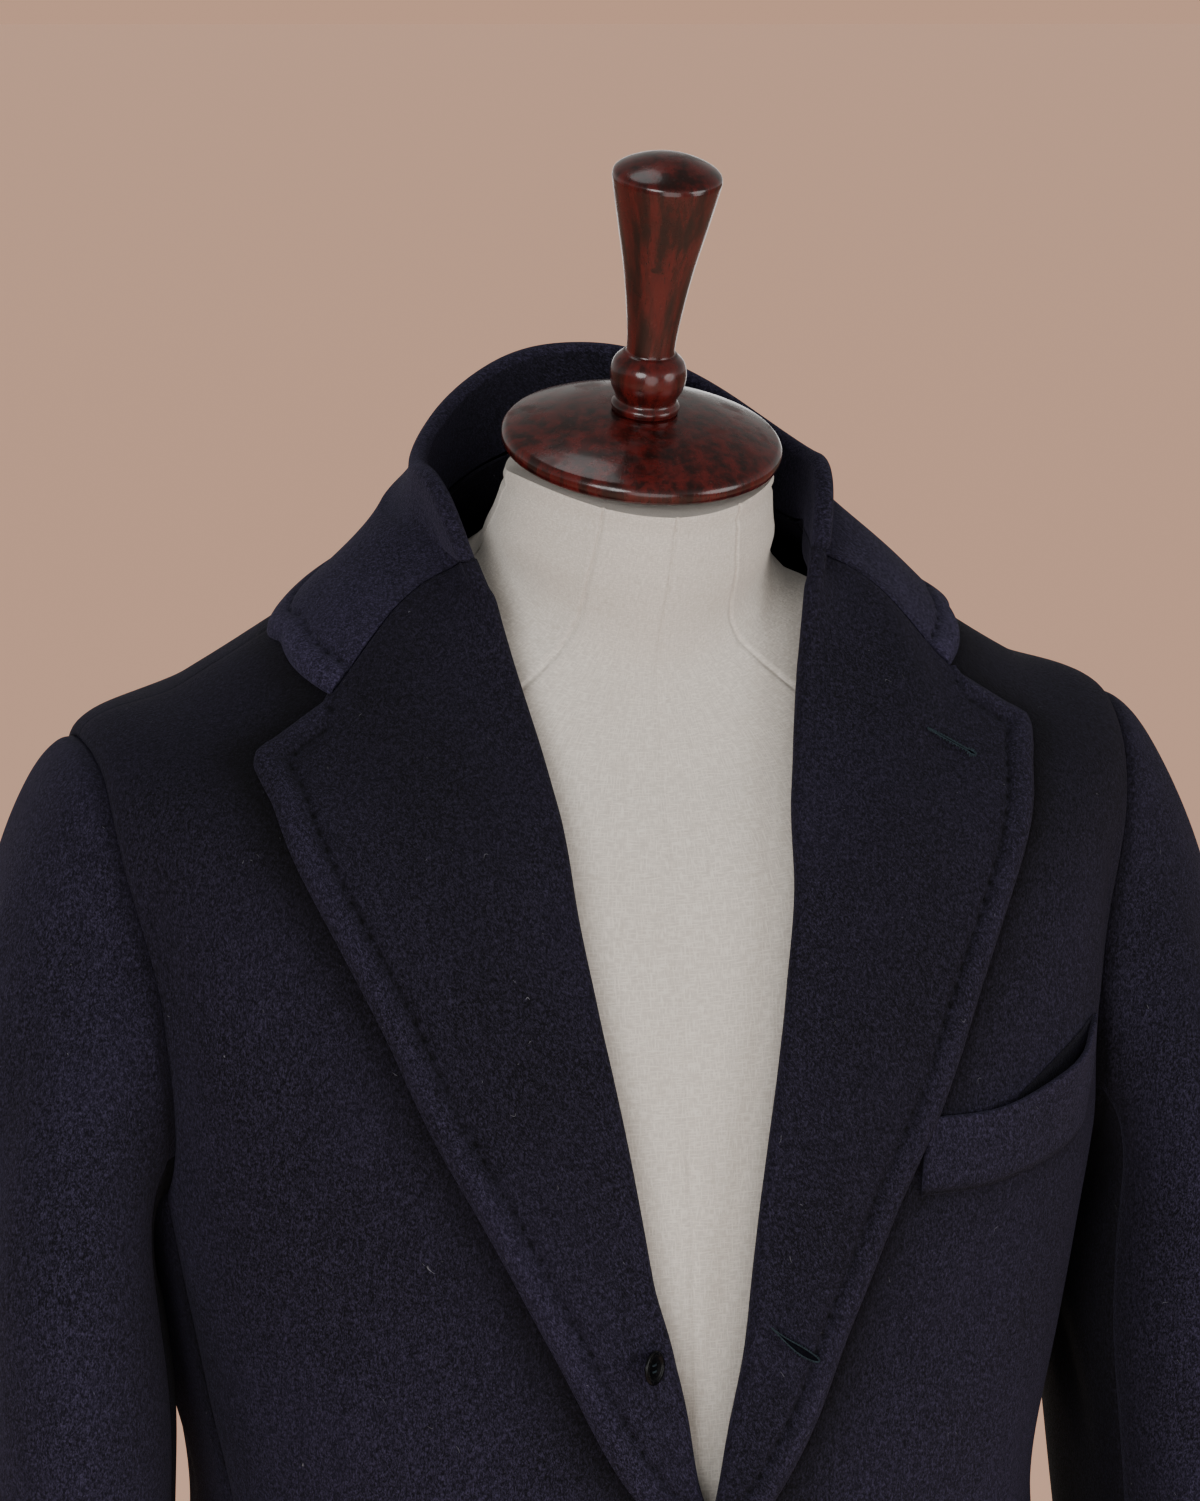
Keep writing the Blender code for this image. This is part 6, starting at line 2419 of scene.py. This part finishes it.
@dataclass
class Stand:
    """Turned cap and finial on the neck, and the pole and base under the body."""

    finishes: Finishes
    cap_foot: tuple[float, float, float] = (0.0, -0.0385, 1.5545)
    form_bottom: float = 0.800
    cap: tuple[Turn, ...] = (
        Turn(0.0004, 0.0), Turn(0.0004, 0.0565), Turn(0.0015, 0.0583), Turn(0.0040, 0.0592),
        Turn(0.0062, 0.0590), Turn(0.0080, 0.0578), Turn(0.0091, 0.0560), Turn(0.0112, 0.0510),
        Turn(0.0136, 0.0440), Turn(0.0165, 0.0330), Turn(0.0185, 0.0180), Turn(0.0190, 0.0),
    )
    finial: tuple[Turn, ...] = (
        Turn(0.0194, 0.0), Turn(0.0194, 0.0140), Turn(0.0218, 0.0144), Turn(0.0242, 0.0129),
        Turn(0.0262, 0.0134), Turn(0.0305, 0.0154), Turn(0.0356, 0.0160), Turn(0.0405, 0.0149),
        Turn(0.0442, 0.0116), Turn(0.0466, 0.0101), Turn(0.0600, 0.0113), Turn(0.0800, 0.0143),
        Turn(0.1010, 0.0187), Turn(0.1180, 0.0222), Turn(0.1216, 0.0226), Turn(0.1238, 0.0216),
        Turn(0.1262, 0.0178), Turn(0.1286, 0.0118), Turn(0.1300, 0.0060), Turn(0.1304, 0.0),
    )
    base: tuple[Turn, ...] = (
        Turn(0.0, 0.0), Turn(0.0, 0.184), Turn(0.003, 0.190), Turn(0.010, 0.190), Turn(0.014, 0.186),
        Turn(0.018, 0.150), Turn(0.023, 0.090), Turn(0.030, 0.046), Turn(0.040, 0.026),
        Turn(0.052, 0.020), Turn(0.060, 0.019), Turn(0.060, 0.0),
    )

    def build(self) -> None:
        """Builds the four turned pieces."""
        axis = np.array([0.0, -math.sin(NECK_TILT), math.cos(NECK_TILT)])
        foot = np.array(self.cap_foot)
        upright, floor = np.array([0.0, 0.0, 1.0]), np.zeros(3)
        top = self.form_bottom - 0.006
        pole = (Turn(0.0604, 0.0), Turn(0.0604, 0.0115), Turn(0.0612, 0.0125), Turn(0.30, 0.0125),
                Turn(top - 0.013, 0.0125), Turn(top - 0.0115, 0.0180), Turn(top - 0.0095, 0.045),
                Turn(top - 0.0045, 0.048), Turn(top - 0.0015, 0.047), Turn(top - 0.0005, 0.044),
                Turn(top - 0.0005, 0.0))
        looks = self.finishes
        for name, outline, at, along, segments, steps, material, slot, node in (
            ("wood_cap", self.cap, foot, axis, 144, 6, looks.wood, Slot.WOOD, "neck_cap"),
            ("wood_finial", self.finial, foot, axis, 120, 6, looks.knob, Slot.WOOD, "finial"),
            ("painted_base", self.base, floor, upright, 128, 5, looks.paint, Slot.PAINT,
             "stand_base"),
            ("painted_pole", pole, floor, upright, 64, 1, looks.paint, Slot.PAINT, "stand_pole"),
        ):
            piece = turned(name, outline, at, along, segments, steps)
            fit_piece(piece, material, slot, node)


# ---------------------------------------------------------------------------------------------
# Studio
# ---------------------------------------------------------------------------------------------
@dataclass
class Studio:
    """Pale floor, soft lamps and the camera."""

    azimuth: float = -16.0
    elevation: float = 10.0
    distance: float = 1.8
    aim_height: float = 1.42
    aim_shift: float = -0.0065
    lens: float = 99.3
    floor_size: float = 4000.0
    chest_height: float = 1.35
    backdrop: Colour = (0.64, 0.37, 0.25)
    floor_tone: Colour = (0.74, 0.50, 0.38)
    floor_glow: Colour = (0.418, 0.224, 0.144)
    ambience: float = 0.55
    overhead: float = 0.35
    lamps: tuple[tuple[str, tuple[float, float, float], float, float], ...] = (
        ("key lamp", (-1.7, -2.3, 2.0), 1.5, 56.0),
        ("fill lamp", (2.1, -1.8, 1.5), 1.7, 34.0),
        ("low lamp", (-0.3, -2.9, 0.8), 2.0, 26.0),
        ("top lamp", (-0.4, 0.2, 3.4), 1.0, 5.0),
        ("back lamp", (0.8, 2.7, 0.9), 2.4, 20.0),
    )

    def _camera(self) -> None:
        """Puts the camera in front of the coat and a little above it."""
        az, el = math.radians(self.azimuth), math.radians(self.elevation)
        right = Vector((math.cos(az), math.sin(az), 0.0))
        back = Vector((math.sin(az) * math.cos(el), -math.cos(az) * math.cos(el), math.sin(el)))
        data = bpy.data.cameras.new("camera")
        data.lens = self.lens
        data.sensor_width = 36.0
        data.clip_start, data.clip_end = 0.05, 5000.0
        camera = bpy.data.objects.new("camera", data)
        aim = Vector((0.0, 0.0, self.aim_height)) + right * self.aim_shift
        up = back.cross(right)
        turn = Matrix((right, up, back)).transposed().to_4x4()
        camera.matrix_world = Matrix.Translation(aim + back * self.distance) @ turn
        bpy.context.scene.collection.objects.link(camera)
        bpy.context.scene.camera = camera

    def _lamps(self) -> None:
        """Hangs the soft lamps, each turned towards the coat's chest."""
        for name, place, size, power in self.lamps:
            data = bpy.data.lights.new(name, "AREA")
            data.shape, data.size, data.energy = "DISK", size, power
            lamp = bpy.data.objects.new(name, data)
            lamp.location = place
            aim = Vector((0.0, 0.0, self.chest_height)) - Vector(place)
            lamp.rotation_euler = aim.to_track_quat("-Z", "Y").to_euler()
            bpy.context.scene.collection.objects.link(lamp)

    def _floor(self) -> None:
        """Lays the pale floor."""
        half = self.floor_size / 2
        points = [(-half, -half, 0), (half, -half, 0), (half, half, 0), (-half, half, 0)]
        mesh = bpy.data.meshes.new("floor")
        mesh.from_pydata(points, [], [(0, 1, 2, 3)])
        floor = bpy.data.objects.new("floor", mesh)
        bpy.context.scene.collection.objects.link(floor)
        made, g, shader = new_material("studio floor")
        shader.inputs["Base Color"].default_value = (*self.floor_tone, 1.0)
        shader.inputs["Roughness"].default_value = 0.9
        shader.inputs["Emission Color"].default_value = (*self.floor_glow, 1.0)
        g.feed(shader.inputs["Emission Strength"], g.add("ShaderNodeLightPath").outputs["Is Camera Ray"])
        mesh.materials.append(made)

    def _ambience(self) -> None:
        """Even light from all round, seen by the camera as a plain backdrop."""
        world = bpy.data.worlds.new("studio")
        bpy.context.scene.world = world
        world.use_nodes = True
        world.node_tree.nodes.clear()
        g = Graph(world.node_tree)
        seen = g.add("ShaderNodeLightPath").outputs["Is Camera Ray"]
        facing = g.add("ShaderNodeTexCoord").outputs["Generated"]
        up = g.add("ShaderNodeSeparateXYZ", {0: facing}).outputs["Z"]
        level = g.remap(up, 0.0, 0.9, self.ambience, self.ambience * self.overhead)
        even = g.add("ShaderNodeBackground", {"Color": (1.0, 0.97, 0.93, 1.0), "Strength": level})
        plain = g.add("ShaderNodeBackground", {"Color": (*self.backdrop, 1.0), "Strength": 1.0})
        both = g.add("ShaderNodeMixShader", {0: seen, 1: even.outputs[0], 2: plain.outputs[0]})
        g.add("ShaderNodeOutputWorld", {"Surface": both.outputs[0]})

    def build(self) -> None:
        """Sets up camera, lamps, floor and ambience."""
        self._camera()
        self._lamps()
        self._floor()
        self._ambience()


def main() -> None:
    logging.basicConfig(level=logging.INFO, format="%(name)s %(message)s")
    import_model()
    body = BodySurface()
    pattern, drape, finishes = Pattern(body), Drape(body), Finishes()
    Studio().build()
    CoatBody(pattern, drape, finishes).build()
    Lapels(pattern, drape, finishes).build()
    Collar(pattern, drape, finishes).build()
    Sleeves(pattern, drape, finishes).build()
    ChestWelt(pattern, drape, finishes).build()
    lapel_face = WALL + LAPEL_CLEAR + LAPEL_WALL
    # How far the swelled cloth stands over the lapel's plain face at each place, in metres.
    rise_at_top_hole, rise_at_front_hole, rise_at_stay = 0.0029, 0.0026, 0.0034
    top_hole = Buttonhole("lapel_buttonhole", (37.3, 9.12), (39.1, 8.71), lift=0.0002, eyelet=2.2,
                          gap=0.0008)
    top_hole.build(pattern, drape, finishes, lapel_face + rise_at_top_hole)
    front_hole = Buttonhole("front_buttonhole", (7.3, 5.445), (12.9, 5.24), lift=0.0002, eyelet=0.1,
                            gap=0.0034, stitches=60, taper=0.8, sag=0.0008)
    front_hole.build(pattern, drape, finishes, lapel_face + OVERLAP_LIFT + rise_at_front_hole)
    outside = OVERLAP_LIFT + WALL + PIECE_GAP
    on_roll = lapel_face + rise_at_stay
    for button in (
        Button("horn_button_mid", "front_button_mid", 0.0, 3.72, outside, 0.012, Side.LEFT),
        Button("horn_button_low", "front_button_low", 0.0, 2.72, outside, 0.012, Side.LEFT),
        Button("horn_button_stay", "stay_button", 6.9, 5.28, on_roll, 0.0072, Side.RIGHT, lean=0.74),
    ):
        button.build(pattern, drape, finishes)
    DressForm(pattern, finishes).build()
    Stand(finishes).build()


if __name__ == "__main__":
    main()
